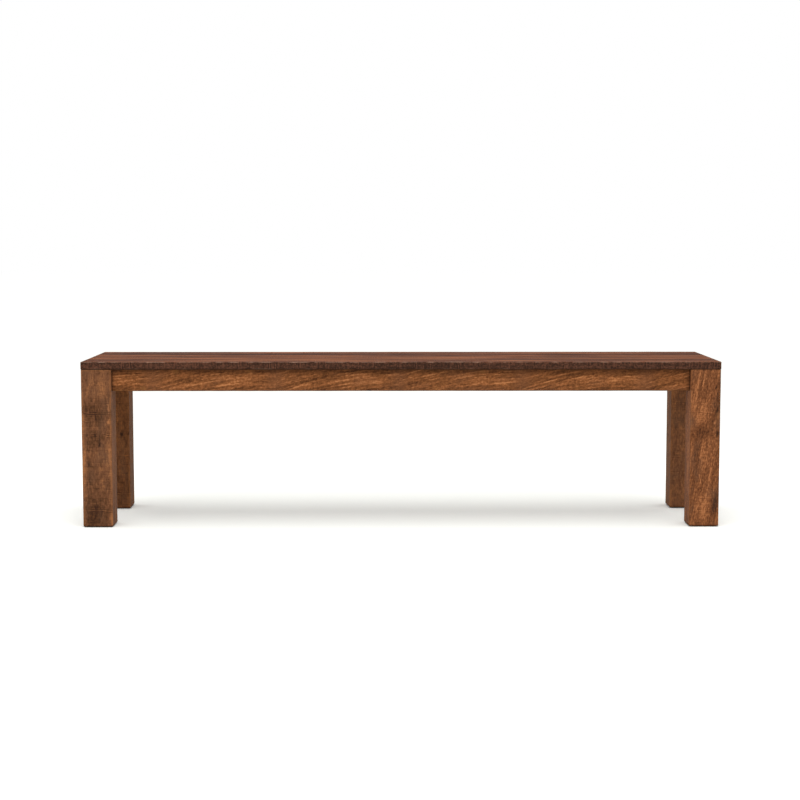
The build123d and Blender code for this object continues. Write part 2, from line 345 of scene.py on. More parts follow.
@dataclass(frozen=True)
class StainedWood:
    """Mango wood: sawn, wiped with brown stain and finished with a thin matt lacquer.

    The stain sits dark in pores and saw marks and has rubbed off the arrises, so the eye
    gets golden figure under brown, fine cross-grain hatching and light worn edges. Its
    edge faces are those that look level across the grain.

    Attributes:
        name: Start of the names of its materials.
        shades: Five shades of the wood, from dark to light.
        grey: Shade of the wood where it has weathered.
        worn: Shade where the stain has rubbed off, on the seat also a painted arris highlight.
        edge_stain: Shade of the stain on edge faces and end grain.
        edge_stain_share: How far that stain hides the wood on edge faces.
        end_stain_share: How far it hides the end grain.
        ring_mm: Distance between two growth rings.
        ring_strength: How far the rings move the tone.
        layers: Layers of marks over the rings.
        saw_pitch_mm: Distance between two saw lines.
        saw_strength: How far the saw lines move the tone.
        edge_saw_strength: How far they move it on edge faces.
        edge_mark_share: Share of the rings and layers left on edge faces.
        edge_speckle: How far fine speckles move the tone on edge faces.
        worn_share: How far the worn shade hides the wood.
        worn_reach_mm: How far the rubbing goes from an arris.
        roughness: Roughness of the lacquer.
        specular: Strength of the lacquer's shine, 0.5 for all that its IOR gives.
    """

    name: str
    shades: tuple[str, str, str, str, str]
    grey: str
    worn: str
    edge_stain: str
    edge_stain_share: float = 0.0
    end_stain_share: float = 0.55
    ring_mm: float = 12.0
    ring_strength: float = 0.9
    layers: tuple[Layer, ...] = (
        Layer((150.0, 32.0), 0.9),
        Layer((34.0, 11.0), 0.8),
        Layer((16.0, 2.4), 0.9, 3.0),
    )
    saw_pitch_mm: float = 4.5
    saw_strength: float = 0.5
    edge_saw_strength: float = 0.5
    edge_mark_share: float = 1.0
    edge_speckle: float = 0.0
    worn_share: float = 0.7
    worn_reach_mm: float = 5.0
    roughness: float = 0.62
    specular: float = 0.15

    def dress(self, piece: bpy.types.Object, cut: Cut) -> None:
        """Give a piece its own block of this wood.

        Args:
            piece: Piece whose only material this becomes.
            cut: How the piece was cut from its log.
        """
        material, tree = blank_tree(f"{self.name}_{piece.name}")
        WoodShader(self, tree, piece, cut).link()
        dress_with(piece, material)


@dataclass(frozen=True)
class Marks:
    """Marks of one kind in a piece of wood, drawn out along its grain.

    Attributes:
        size_mm: Length of a mark along the grain and its width across it.
        shift: Number that keeps them apart from the other marks of the piece.
        detail: Number of finer marks within each.
    """

    size_mm: tuple[float, float]
    shift: int
    detail: float = 2.0


class WoodShader:
    """Shader tree of one piece of wood, while it is being put together.

    The constants hold the marks that every wood has. A range says where a mark starts
    to show and where it is full, and a swing how far it moves what it disturbs.
    """

    MARK_ROUGHNESS = 0.6
    LINE_ROUGHNESS = 0.65

    # The slow wander of the trunk and the ripple upon it move the rings across the grain
    WANDER, WANDER_SWING_MM = Marks((380.0, 150.0), 0, 1.0), (0.0, 60.0, 60.0)
    RIPPLE, RIPPLE_SWING_MM = Marks((46.0, 15.0), 3), (0.0, 12.0, 12.0)
    RING_DETAIL = 3.0

    # Shifts of the layers that a wood brings, and what becomes of a sparse one
    FIRST_LAYER, LAYER_STEP = 7, 4
    SPARSE_RANGE, SPARSE_TONES = (0.5, 0.68), (0.42, 0.92)

    # Knots, clouds and patches have shaken outlines and fade out over shares of their reach
    SHAKE, SHAKE_SWING_MM = Marks((10.0, 7.0), 31), (14.0, 9.0, 9.0)
    HEART_FADE, HEART_SHARE = (0.3, 2.0), 0.85
    BEND_FADE, BEND_SHARE = (0.0, 5.0), 1.6
    CLOUD_FADE = (0.0, 1.4)
    PATCH_FADE = (0.1, 1.3)

    # Saw lines bow, lean and break off, and are deeper in some places
    SAW_BOW, SAW_BOW_MM = Marks((70.0, 40.0), 29, 1.0), 14.0
    SAW_ACROSS = (1.0, 0.05, 0.05)
    SAW_DETAIL = 2.0
    SAW_BREAKS, SAW_BREAK_RANGE = Marks((9.0, 16.0), 19), (0.35, 0.65)
    SAW_PLACES, SAW_PLACE_RANGE, SAW_DEPTHS = Marks((55.0, 30.0), 17), (0.38, 0.62), (0.2, 1.3)

    # Real pores are about 0.2 mm wide; these are drawn 0.7 mm wide so that they show
    PORES, PORE_RANGE, PORE_SHARE = Marks((11.0, 0.7), 23, 1.0), (0.6, 0.72), 0.45

    WEATHERED, WEATHERED_RANGE, WEATHERED_SHARE = Marks((90.0, 40.0), 41), (0.52, 0.75), 0.5
    EDGE_SPECKLE = Marks((5.0, 3.8), 61)

    # Rubbing along an arris ends raggedly; its swing and fade are shares of the wood's reach
    RAGGED, RAGGED_SWING = Marks((26.0, 12.0), 53, 3.0), 2.4
    RUBBED_FADE = (0.9, 2.0)
    BRUISE_RANGE, BRUISE_LEAST = (0.38, 0.6), 0.2

    # How squarely a face looks along a direction, as a cosine
    FACING_RANGE = (0.55, 0.9)

    # How high light wood, saw crests and pores stand in the relief
    TONE_HEIGHT, SAW_HEIGHT, PORE_HEIGHT = 0.25, 0.8, -0.5
    RELIEF_STRENGTH, RELIEF_MM = 0.6, 0.35
    END_GRAIN_ROUGHER, LIGHT_WOOD_ROUGHER = 0.15, 0.08
    LACQUER_IOR = 1.5

    def __init__(
        self,
        wood: StainedWood,
        tree: bpy.types.NodeTree,
        piece: bpy.types.Object,
        cut: Cut,
    ) -> None:
        """Start the shader with the place in the piece, along and across its grain.

        Args:
            wood: Wood that the piece is of.
            tree: Empty shader tree.
            piece: Piece, whose object sits at the origin.
            cut: How the piece was cut from its log.
        """
        self.wood = wood
        self.tree = tree
        self.cut = cut
        self.low, self.high = box_of(piece)
        self.place = add(tree, Node.COORDINATES, out="Object")
        self.straight = self._grain_space()
        self.grained = self._leaning()
        shake = self._marks(self.SHAKE, "Color")
        shake = add(tree, Node.VECTOR, shake, (0.5, 0.5, 0.5), operation="SUBTRACT")
        shake = add(tree, Node.VECTOR, shake, self.SHAKE_SWING_MM, operation="MULTIPLY")
        self.shaken = add(tree, Node.VECTOR, self.grained, shake, operation="ADD")

    def link(self) -> None:
        """Put the layers together and link the finished surface."""
        hearts, push = self._knots()
        saw = self._saw_marks()
        pores = add(self.tree, Node.RANGE, self._marks(self.PORES), *self.PORE_RANGE)
        edge = self._facing(self.cut.grain.directions()[1])
        end_grain = self._facing(self.cut.grain.directions()[0])
        tone = self._tone(push, saw, edge)
        colour = self._colour(tone, pores, edge, end_grain, hearts)
        self._surface(colour, tone, saw, pores, end_grain)

    def _marks(self, marks: Marks, out: str = "Fac") -> Socket:
        """Marks drawn out along the grain.

        Args:
            marks: Which marks.
            out: Output that is wanted, one number or a colour of three.

        Returns:
            Socket with numbers around 0.5.
        """
        along_mm, across_mm = marks.size_mm
        scale = (1 / along_mm, 1 / across_mm, 1 / across_mm)
        noise = {
            "Vector": add(self.tree, Node.VECTOR, self.grained, scale, operation="MULTIPLY"),
            "W": self.cut.seed + marks.shift,
            "Scale": 1.0,
            "Detail": marks.detail,
            "Roughness": self.MARK_ROUGHNESS,
        }
        return add(self.tree, Node.NOISE, inputs=noise, out=out, noise_dimensions="4D")

    def _lines(self, across: Socket, pitch_mm: float, detail: float) -> Socket:
        """Lines at uneven distances, such as growth rings.

        Args:
            across: Distance across the lines, in millimetres.
            pitch_mm: Typical distance from one line to the next.
            detail: Number of finer lines between them.

        Returns:
            Socket with numbers around 0.5.
        """
        noise = {
            "W": across,
            "Scale": 1 / pitch_mm,
            "Detail": detail,
            "Roughness": self.LINE_ROUGHNESS,
        }
        return add(self.tree, Node.NOISE, inputs=noise, noise_dimensions="1D")

    def _from_middle(self) -> Socket:
        """Place from the middle of the piece's box, in metres."""
        middle = (self.low + self.high) / 2
        return add(self.tree, Node.VECTOR, self.place, middle, operation="SUBTRACT")

    def _grain_space(self) -> Socket:
        """Place from the middle of the piece, along straight grain and across it.

        Returns:
            Socket of the place in millimetres.
        """
        from_middle = self._from_middle()
        parts = (
            add(
                self.tree,
                Node.VECTOR,
                from_middle,
                direction / MM,
                out="Value",
                operation="DOT_PRODUCT",
            )
            for direction in self.cut.grain.directions()
        )
        return add(self.tree, Node.COMBINE, *parts)

    def _leaning(self) -> Socket:
        """Let the grain lean over, and climb with the figure of the piece if it has one.

        Returns:
            Socket of the place along the leaning grain and across it.
        """
        tree = self.tree
        along = add(tree, Node.SEPARATE, self.straight)
        lean = add(tree, Node.MATH, along, -self.cut.lean, operation="MULTIPLY")
        climb = 0.0
        figure = self.cut.figure
        if figure:
            band_mm = figure.first_patch_mm + figure.grey_lead_mm
            left = add(tree, Node.MATH, along, band_mm, operation="SUBTRACT")
            left = add(tree, Node.MATH, left, -figure.pitch_mm, operation="DIVIDE")
            left = add(tree, Node.MATH, left, 1.0, 0.0, operation="WRAP")
            left = add(tree, Node.MATH, left, figure.climb_bend, operation="POWER")
            most = figure.climb_mm
            climb = add(tree, Node.MATH, left, most, -most, operation="MULTIPLY_ADD")
        moved = add(tree, Node.COMBINE, 0.0, lean, climb)
        return add(tree, Node.VECTOR, self.straight, moved, operation="ADD")

    def _in_grain(self, place: tuple[float, float, float]) -> tuple[float, float, float]:
        """Turn a place in the piece's box to one along and across its leaning grain.

        Args:
            place: Shares of the box from its low corner.

        Returns:
            Millimetres from the middle of the piece.
        """
        size = self.high - self.low
        offset = Vector((share - 0.5) * length for share, length in zip(place, size))
        along, across, third = (offset.dot(way) / MM for way in self.cut.grain.directions())
        return along, across - self.cut.lean * along, third

    def _reach(
        self, place: tuple[float, float, float], reach_mm: tuple[float, float]
    ) -> Socket:
        """Distance from a place as a share of a reach, with shaken outlines.

        Args:
            place: Shares of the piece's box.
            reach_mm: Reach along the grain and across it.

        Returns:
            Socket of the share, 1 at the reach.
        """
        tree = self.tree
        along_mm, across_mm = reach_mm
        squeeze = (1 / along_mm, 1 / across_mm, 1 / across_mm)
        apart = add(tree, Node.VECTOR, self.shaken, self._in_grain(place), operation="SUBTRACT")
        apart = add(tree, Node.VECTOR, apart, squeeze, operation="MULTIPLY")
        return add(tree, Node.VECTOR, apart, out="Value", operation="LENGTH")

    def _knots(self) -> tuple[Socket | float, Socket | float]:
        """Dark hearts of the knots, and how far the rings bend round them.

        Returns:
            Darkness from 0 to 1, and the push on the rings in millimetres.
        """
        tree = self.tree
        hearts, push = 0.0, 0.0
        for knot in self.cut.knots:
            reach = self._reach(knot.place, (knot.radius_mm * knot.stretch, knot.radius_mm))
            heart = add(tree, Node.RANGE, reach, *self.HEART_FADE, 1.0, 0.0, **SMOOTH)
            most_mm = knot.radius_mm * self.BEND_SHARE
            bend = add(tree, Node.RANGE, reach, *self.BEND_FADE, most_mm, 0.0, **SMOOTH)
            hearts = add(tree, Node.MATH, hearts, heart, operation="MAXIMUM")
            push = add(tree, Node.MATH, push, bend, operation="ADD")
        return hearts, push

    def _rings(self, push: Socket | float) -> Socket:
        """Growth rings round the pith, wandering as the trunk did.

        Args:
            push: Bend of the rings round knots, in millimetres.

        Returns:
            Socket with numbers around 0.5.
        """
        tree = self.tree
        bent = self.grained
        for marks, swing in (
            (self.WANDER, self.WANDER_SWING_MM),
            (self.RIPPLE, self.RIPPLE_SWING_MM),
        ):
            offset = self._marks(marks, "Color")
            offset = add(tree, Node.VECTOR, offset, swing, operation="MULTIPLY")
            bent = add(tree, Node.VECTOR, bent, offset, operation="ADD")
        pith = (0.0, *self.cut.pith_mm)
        from_pith = add(tree, Node.VECTOR, bent, pith, operation="SUBTRACT")
        flat = add(tree, Node.VECTOR, from_pith, (0.0, 1.0, 1.0), operation="MULTIPLY")
        radius = add(tree, Node.VECTOR, flat, out="Value", operation="LENGTH")
        radius = add(tree, Node.MATH, radius, push, operation="ADD")
        return self._lines(radius, self.wood.ring_mm, self.RING_DETAIL)

    def _figure_local(self, lead_mm: float) -> Socket:
        """Distance along the grain from the nearest place of the figure that comes back.

        Args:
            lead_mm: How far that place lies on from a bright patch.

        Returns:
            Socket of the distance, in millimetres.
        """
        figure = self.cut.figure
        half = figure.pitch_mm / 2
        along = add(self.tree, Node.SEPARATE, self.shaken)
        first_mm = figure.first_patch_mm + lead_mm
        shifted = add(self.tree, Node.MATH, along, first_mm, operation="SUBTRACT")
        return add(self.tree, Node.MATH, shifted, half, -half, operation="WRAP")

    def _figure_patch(self) -> Socket:
        """Mask of the bright patches of the figure.

        Returns:
            Socket of the mask, 1 in the middle of a patch.
        """
        tree = self.tree
        figure = self.cut.figure
        along_mm, across_mm = figure.patch_mm
        along = self._figure_local(0.0)
        along = add(tree, Node.MATH, along, along_mm, operation="DIVIDE")
        across = add(tree, Node.SEPARATE, self.straight, out="Z")
        across = add(tree, Node.MATH, across, figure.patch_level_mm, operation="SUBTRACT")
        across = add(tree, Node.MATH, across, across_mm, operation="DIVIDE")
        reach = add(tree, Node.COMBINE, along, across)
        reach = add(tree, Node.VECTOR, reach, out="Value", operation="LENGTH")
        return add(tree, Node.RANGE, reach, *self.PATCH_FADE, 1.0, 0.0, **SMOOTH)

    def _tone(self, push: Socket | float, saw: Socket, edge: Socket) -> Socket:
        """Lightness of the wood from all its marks.

        Args:
            push: Bend of the rings round knots, in millimetres.
            saw: Saw marks, lighter and darker.
            edge: Mask of the faces that the stain of the edges covers.

        Returns:
            Socket with numbers around 0.5, from dark to light.
        """
        tree = self.tree
        wood = self.wood
        marks = [(self._rings(push), wood.ring_strength)]
        for place, layer in enumerate(wood.layers):
            shift = self.FIRST_LAYER + self.LAYER_STEP * place
            mark = self._marks(Marks(layer.size_mm, shift, layer.detail))
            if layer.sparse:
                tones = (*self.SPARSE_RANGE, *self.SPARSE_TONES)
                mark = add(tree, Node.RANGE, mark, *tones, **SMOOTH)
            marks.append((mark, layer.strength))
        total = 0.0
        for mark, strength in marks:
            offset = add(tree, Node.MATH, mark, 0.5, operation="SUBTRACT")
            total = add(tree, Node.MATH, offset, strength, total, operation="MULTIPLY_ADD")
        share = add(tree, Node.RANGE, edge, 0.0, 1.0, 1.0, wood.edge_mark_share)
        even = 0.5 + self.cut.tone
        tone = add(tree, Node.MATH, total, share, even, operation="MULTIPLY_ADD")
        tone = self._clouded(tone, self.cut.clouds)
        if self.cut.figure:
            lift = self.cut.figure.patch_lift
            patch = self._figure_patch()
            tone = add(tree, Node.MATH, patch, lift, tone, operation="MULTIPLY_ADD")
        strengths = (wood.saw_strength, wood.edge_saw_strength)
        strength = add(tree, Node.RANGE, edge, 0.0, 1.0, *strengths)
        tone = add(tree, Node.MATH, saw, strength, tone, operation="MULTIPLY_ADD")
        speckle = self._marks(self.EDGE_SPECKLE)
        speckle = add(tree, Node.MATH, speckle, 0.5, operation="SUBTRACT")
        speckle = add(tree, Node.MATH, speckle, edge, operation="MULTIPLY")
        return add(tree, Node.MATH, speckle, wood.edge_speckle, tone, operation="MULTIPLY_ADD")

    def _clouded(self, value: Socket, clouds: tuple[Cloud, ...]) -> Socket:
        """Raise or lower a number within some clouds.

        Args:
            value: Number to change.
            clouds: Where it changes, and how far.

        Returns:
            Socket of the changed number.
        """
        for cloud in clouds:
            reach = self._reach(cloud.place, cloud.reach_mm)
            fade = (*self.CLOUD_FADE, cloud.lift, 0.0)
            lift = add(self.tree, Node.RANGE, reach, *fade, **SMOOTH)
            value = add(self.tree, Node.MATH, value, lift, operation="ADD")
        return value

    def _saw_marks(self) -> Socket:
        """Fine lines that the saw left across the grain, in some places deeper than in others.

        Returns:
            Socket with numbers around 0, lighter on the crests and darker in the grooves.
        """
        tree = self.tree
        across = add(
            tree, Node.VECTOR, self.grained, self.SAW_ACROSS, out="Value", operation="DOT_PRODUCT"
        )
        bow = self._marks(self.SAW_BOW)
        across = add(tree, Node.MATH, bow, self.SAW_BOW_MM, across, operation="MULTIPLY_ADD")
        lines = self._lines(across, self.wood.saw_pitch_mm, self.SAW_DETAIL)
        lines = add(tree, Node.MATH, lines, 0.5, operation="SUBTRACT")
        broken = add(tree, Node.RANGE, self._marks(self.SAW_BREAKS), *self.SAW_BREAK_RANGE)
        depth = self._marks(self.SAW_PLACES)
        depth = add(tree, Node.RANGE, depth, *self.SAW_PLACE_RANGE, *self.SAW_DEPTHS)
        depth = self._clouded(depth, self.cut.sawn)
        if self.cut.figure:
            deeper = self.cut.figure.patch_sawn
            patch = self._figure_patch()
            depth = add(tree, Node.MATH, patch, deeper, depth, operation="MULTIPLY_ADD")
        depth = add(tree, Node.MATH, broken, depth, operation="MULTIPLY")
        return add(tree, Node.MATH, lines, depth, operation="MULTIPLY")

    def _facing(self, direction: Vector) -> Socket:
        """Mask of the faces that look along a direction, either way.

        Args:
            direction: That direction.

        Returns:
            Socket of the mask.
        """
        tree = self.tree
        normal = add(tree, Node.GEOMETRY, out="Normal")
        along = add(tree, Node.VECTOR, normal, direction, out="Value", operation="DOT_PRODUCT")
        along = add(tree, Node.MATH, along, operation="ABSOLUTE")
        return add(tree, Node.RANGE, along, *self.FACING_RANGE)

    def _arris_mm(self) -> Socket:
        """Distance along the surface to the nearest arris of the piece.

        Returns:
            Socket of the distance, in millimetres.
        """
        tree = self.tree
        half = (self.high - self.low) / 2
        depth = add(tree, Node.VECTOR, self._from_middle(), operation="ABSOLUTE")
        depth = add(tree, Node.VECTOR, half, depth, operation="SUBTRACT")
        first, second, third = add(tree, Node.SEPARATE, depth).node.outputs
        lesser = add(tree, Node.MATH, first, second, operation="MINIMUM")
        greater = add(tree, Node.MATH, first, second, operation="MAXIMUM")
        greater = add(tree, Node.MATH, greater, third, operation="MINIMUM")
        middling = add(tree, Node.MATH, lesser, greater, operation="MAXIMUM")
        return add(tree, Node.MATH, middling, MM, operation="DIVIDE")

    def _worn(self) -> Socket:
        """Mask of the arrises and bruises where the stain has rubbed off.

        Returns:
            Socket of the mask.
        """
        tree = self.tree
        reach = self.wood.worn_reach_mm
        ragged = self._marks(self.RAGGED)
        swing = self.RAGGED_SWING * reach
        edge = add(tree, Node.MATH, ragged, swing, self._arris_mm(), operation="MULTIPLY_ADD")
        start, end = (share * reach for share in self.RUBBED_FADE)
        edge = add(tree, Node.RANGE, edge, start, end, 1.0, 0.0, **SMOOTH)
        bruised = add(tree, Node.ATTRIBUTE, out="Fac", attribute_name=WORN)
        patchy = add(tree, Node.RANGE, ragged, *self.BRUISE_RANGE, self.BRUISE_LEAST)
        bruised = add(tree, Node.MATH, bruised, patchy, operation="MULTIPLY")
        return add(tree, Node.MATH, edge, bruised, operation="MAXIMUM")

    def _grey(self) -> Socket:
        """Mask of the places where the wood has weathered grey.

        Returns:
            Socket of the mask.
        """
        tree = self.tree
        grey = self._marks(self.WEATHERED)
        shares = (0.0, self.WEATHERED_SHARE)
        grey = add(tree, Node.RANGE, grey, *self.WEATHERED_RANGE, *shares)
        figure = self.cut.figure
        if figure:
            away = self._figure_local(figure.grey_lead_mm)
            away = add(tree, Node.MATH, away, operation="ABSOLUTE")
            fade = (0.0, figure.grey_reach_mm, figure.grey_share, 0.0)
            band = add(tree, Node.RANGE, away, *fade, **SMOOTH)
            grey = add(tree, Node.MATH, grey, band, operation="MAXIMUM")
        return grey

    def _toned(self, tone: Socket, shades: tuple[str, ...]) -> Socket:
        """Colour of each tone, through a wood's five shades from dark to light.

        Args:
            tone: Lightness.
            shades: The five shades.

        Returns:
            Socket of the colour.
        """
        colour = add(self.tree, Node.RAMP, tone, out="Color")
        set_ramp(colour.node.color_ramp, SHADE_PLACES, shades)
        return colour

    def _colour(
        self,
        tone: Socket,
        pores: Socket,
        edge: Socket,
        end_grain: Socket,
        hearts: Socket | float,
    ) -> Socket:
        """Colour of the wood under its stain and wear, darkened by painted shade along its seams.

        Args:
            tone: Lightness.
            pores: Pores.
            edge: Mask of the faces that the stain of the edges covers.
            end_grain: Mask of the end grain.
            hearts: Mask of the hearts of knots.

        Returns:
            Socket of the colour.
        """
        tree = self.tree
        wood = self.wood
        on_edge = add(tree, Node.MATH, edge, wood.edge_stain_share, operation="MULTIPLY")
        on_end = add(tree, Node.MATH, end_grain, wood.end_stain_share, operation="MULTIPLY")
        stain = add(tree, Node.MATH, on_edge, on_end, operation="MAXIMUM")
        stains = tuple(shaded(wood.edge_stain, share) for share in STAIN_SPREAD)
        # Painted shade of gaps and overhangs along the seams, with some grime
        grime = add(tree, Node.ATTRIBUTE, out="Fac", attribute_name=GRIME_AND_SHADE)
        colour = self._toned(tone, wood.shades)
        for mask, share, laid_on in (
            (self._grey(), 1.0, linear(wood.grey)),
            (stain, 1.0, self._toned(tone, stains)),
            (pores, self.PORE_SHARE, linear(wood.shades[0])),
            (hearts, self.HEART_SHARE, linear(KNOT_COLOUR)),
            (self._worn(), wood.worn_share, linear(wood.worn)),
            (grime, 1.0, linear(GRIME_AND_SHADE_COLOUR)),
        ):
            amount = add(tree, Node.MATH, mask, share, operation="MULTIPLY")
            mix = {FACTOR: amount, COLOUR_A: colour, COLOUR_B: laid_on}
            colour = add(tree, Node.MIX, inputs=mix, out=COLOUR_OUT, data_type="RGBA")
        return colour

    def _surface(
        self, colour: Socket, tone: Socket, saw: Socket, pores: Socket, end_grain: Socket
    ) -> None:
        """Finish the shader with relief and the sheen of thin matt lacquer.

        Args:
            colour: Colour of the wood.
            tone: Lightness, which stands for the hard and soft parts of a ring.
            saw: Saw marks.
            pores: Pores.
            end_grain: Mask of the end grain, which drinks the lacquer.
        """
        tree = self.tree
        height = add(tree, Node.MATH, tone, self.TONE_HEIGHT, operation="MULTIPLY")
        for marks, share in ((saw, self.SAW_HEIGHT), (pores, self.PORE_HEIGHT)):
            height = add(tree, Node.MATH, marks, share, height, operation="MULTIPLY_ADD")
        relief = {
            "Height": height,
            "Strength": self.RELIEF_STRENGTH,
            "Distance": self.RELIEF_MM * MM,
        }
        rough = self.wood.roughness
        for mask, share in ((end_grain, self.END_GRAIN_ROUGHER), (tone, self.LIGHT_WOOD_ROUGHER)):
            rough = add(tree, Node.MATH, mask, share, rough, operation="MULTIPLY_ADD")
        surface = {
            "Base Color": colour,
            "Roughness": rough,
            "IOR": self.LACQUER_IOR,
            "Specular IOR Level": self.wood.specular,
            "Normal": add(tree, Node.BUMP, inputs=relief),
        }
        add(tree, Node.OUTPUT, add(tree, Node.PRINCIPLED, inputs=surface))


def set_ramp(
    ramp: bpy.types.ColorRamp, places: tuple[float, ...], colours: tuple[str, ...]
) -> None:
    """Set the stops of a colour ramp.

    Args:
        ramp: Ramp with its two first stops.
        places: Place of each stop.
        colours: Colour of each stop, as hex.
    """
    for place in places[1:-1]:
        ramp.elements.new(place)
    for element, place, colour in zip(ramp.elements, places, colours):
        element.position = place
        element.color = linear(colour)


def box_of(piece: bpy.types.Object) -> tuple[Vector, Vector]:
    """Lowest and highest corner of a piece whose object sits at the origin.

    Args:
        piece: Piece to measure.

    Returns:
        The two corners.
    """
    places = mesh_places(piece.data)
    return Vector(places.min(axis=0)), Vector(places.max(axis=0))


def mesh_places(mesh: bpy.types.Mesh) -> np.ndarray:
    """Places of a mesh's vertices.

    Args:
        mesh: Mesh to read.

    Returns:
        One row for each vertex.
    """
    flat = np.empty(len(mesh.vertices) * 3, np.float64)
    mesh.vertices.foreach_get("co", flat)
    return flat.reshape(-1, 3)


# Cuts near an arris, as shares of its radius
NEAR_ARRIS_SHARES = (0.2, 0.45, 0.75, 1.1, 1.6, 3.0)

# Faces that turn by less than the first are one face, and by more than the second, sharp
FLAT_ANGLE = math.radians(0.5)
SHARP_ANGLE = math.radians(50)

# Waves that make up an unevenness, and how many of their crests one pitch holds
UNEVEN_WAVES = 7
UNEVEN_CRESTS = (0.6, 1.6)

# No arris is sharper than this, and none rounder than this share of the piece's thickness
LEAST_ARRIS_MM = 0.3
LARGEST_ARRIS_SHARE = 1 / 3

# An arris is back at its full radius this many radii away from a seam
CRISP_RADII = 4

# Sizes of bruises, as shares of a large one
BRUISE_SIZES = (0.4, 1.0)

# A hollow draws in points that lie less than this far below its face
HOLLOW_SKIN_MM = 3.0

# How far the painted shade and old grime reach in under a piece from the rim of a seam
GRIME_AND_SHADE_RIM_MM = 7.0

# Numbers added to the seed of a piece for its bruises and its hollows
BRUISE_SEED, HOLLOW_SEED = 1, 5


def unevenness(places: np.ndarray, pitch_mm: float, seed: int) -> np.ndarray:
    """Smooth unevenness that is the same at each run.

    Args:
        places: Places in metres, one row each.
        pitch_mm: Typical distance between two crests.
        seed: Number that picks one pattern.

    Returns:
        One number for each place, mostly between -1 and 1.
    """
    draws = np.random.default_rng(seed)
    total = np.zeros(len(places))
    for _ in range(UNEVEN_WAVES):
        direction = draws.normal(size=3)
        direction *= math.tau * draws.uniform(*UNEVEN_CRESTS) / np.linalg.norm(direction)
        total += np.sin(places @ direction / (pitch_mm * MM) + draws.uniform(0, math.tau))
    return total / math.sqrt(UNEVEN_WAVES)


@dataclass(frozen=True)
class Wear:
    """How sanding, handling and years have changed a sharp-edged piece of wood.

    Attributes:
        arris_mm: Typical radius of a rubbed arris.
        arris_change: Share by which that radius comes and goes along an arris.
        arris_pitch_mm: Distance over which it comes and goes.
        seam_share: Share of that radius left where the piece meets a neighbour.
        bruises: Number of bruises on the long arrises.
        bruise_mm: Depth and reach of a large bruise.
        hollow_mm: Depth of the hollows in a face.
        hollow_pitch_mm: Distance between two hollows.
        cell_mm: Length of a cell along the grain, and its width across a face.
    """

    arris_mm: float
    arris_change: float = 0.3
    arris_pitch_mm: float = 55.0
    seam_share: float = 0.35
    bruises: int = 10
    bruise_mm: tuple[float, float] = (0.9, 11.0)
    hollow_mm: float = 0.2
    hollow_pitch_mm: float = 90.0
    cell_mm: tuple[float, float] = (8.0, 14.0)


@dataclass(frozen=True)
class Seam:
    """Line where a piece meets a neighbour, with painted shade and old grime along it.

    Attributes:
        axis: Axis across the seam.
        end: Whether it is at the high or the low end of the piece's box along that axis.
        inset_mm: Distance of the seam from that end, as the shoulder of a tenon has.
        reach_mm: How far the painted shade and grime fade out from the seam.
        share: How dark the painted shade and grime are, 1 where they hide the wood.
    """

    axis: Axis
    end: End
    inset_mm: float = 0.0
    reach_mm: float = 3.0
    share: float = 1.0

    def away(self, places: np.ndarray, low: np.ndarray, high: np.ndarray) -> np.ndarray:
        """Distance of each place from the seam, in metres.

        Args:
            places: Places of the vertices.
            low: Low corner of the piece.
            high: High corner of the piece.

        Returns:
            One distance for each place.
        """
        corner = high if self.end is End.HIGH else low
        level = corner[self.axis] - self.end * self.inset_mm * MM
        return np.abs(places[:, self.axis] - level)


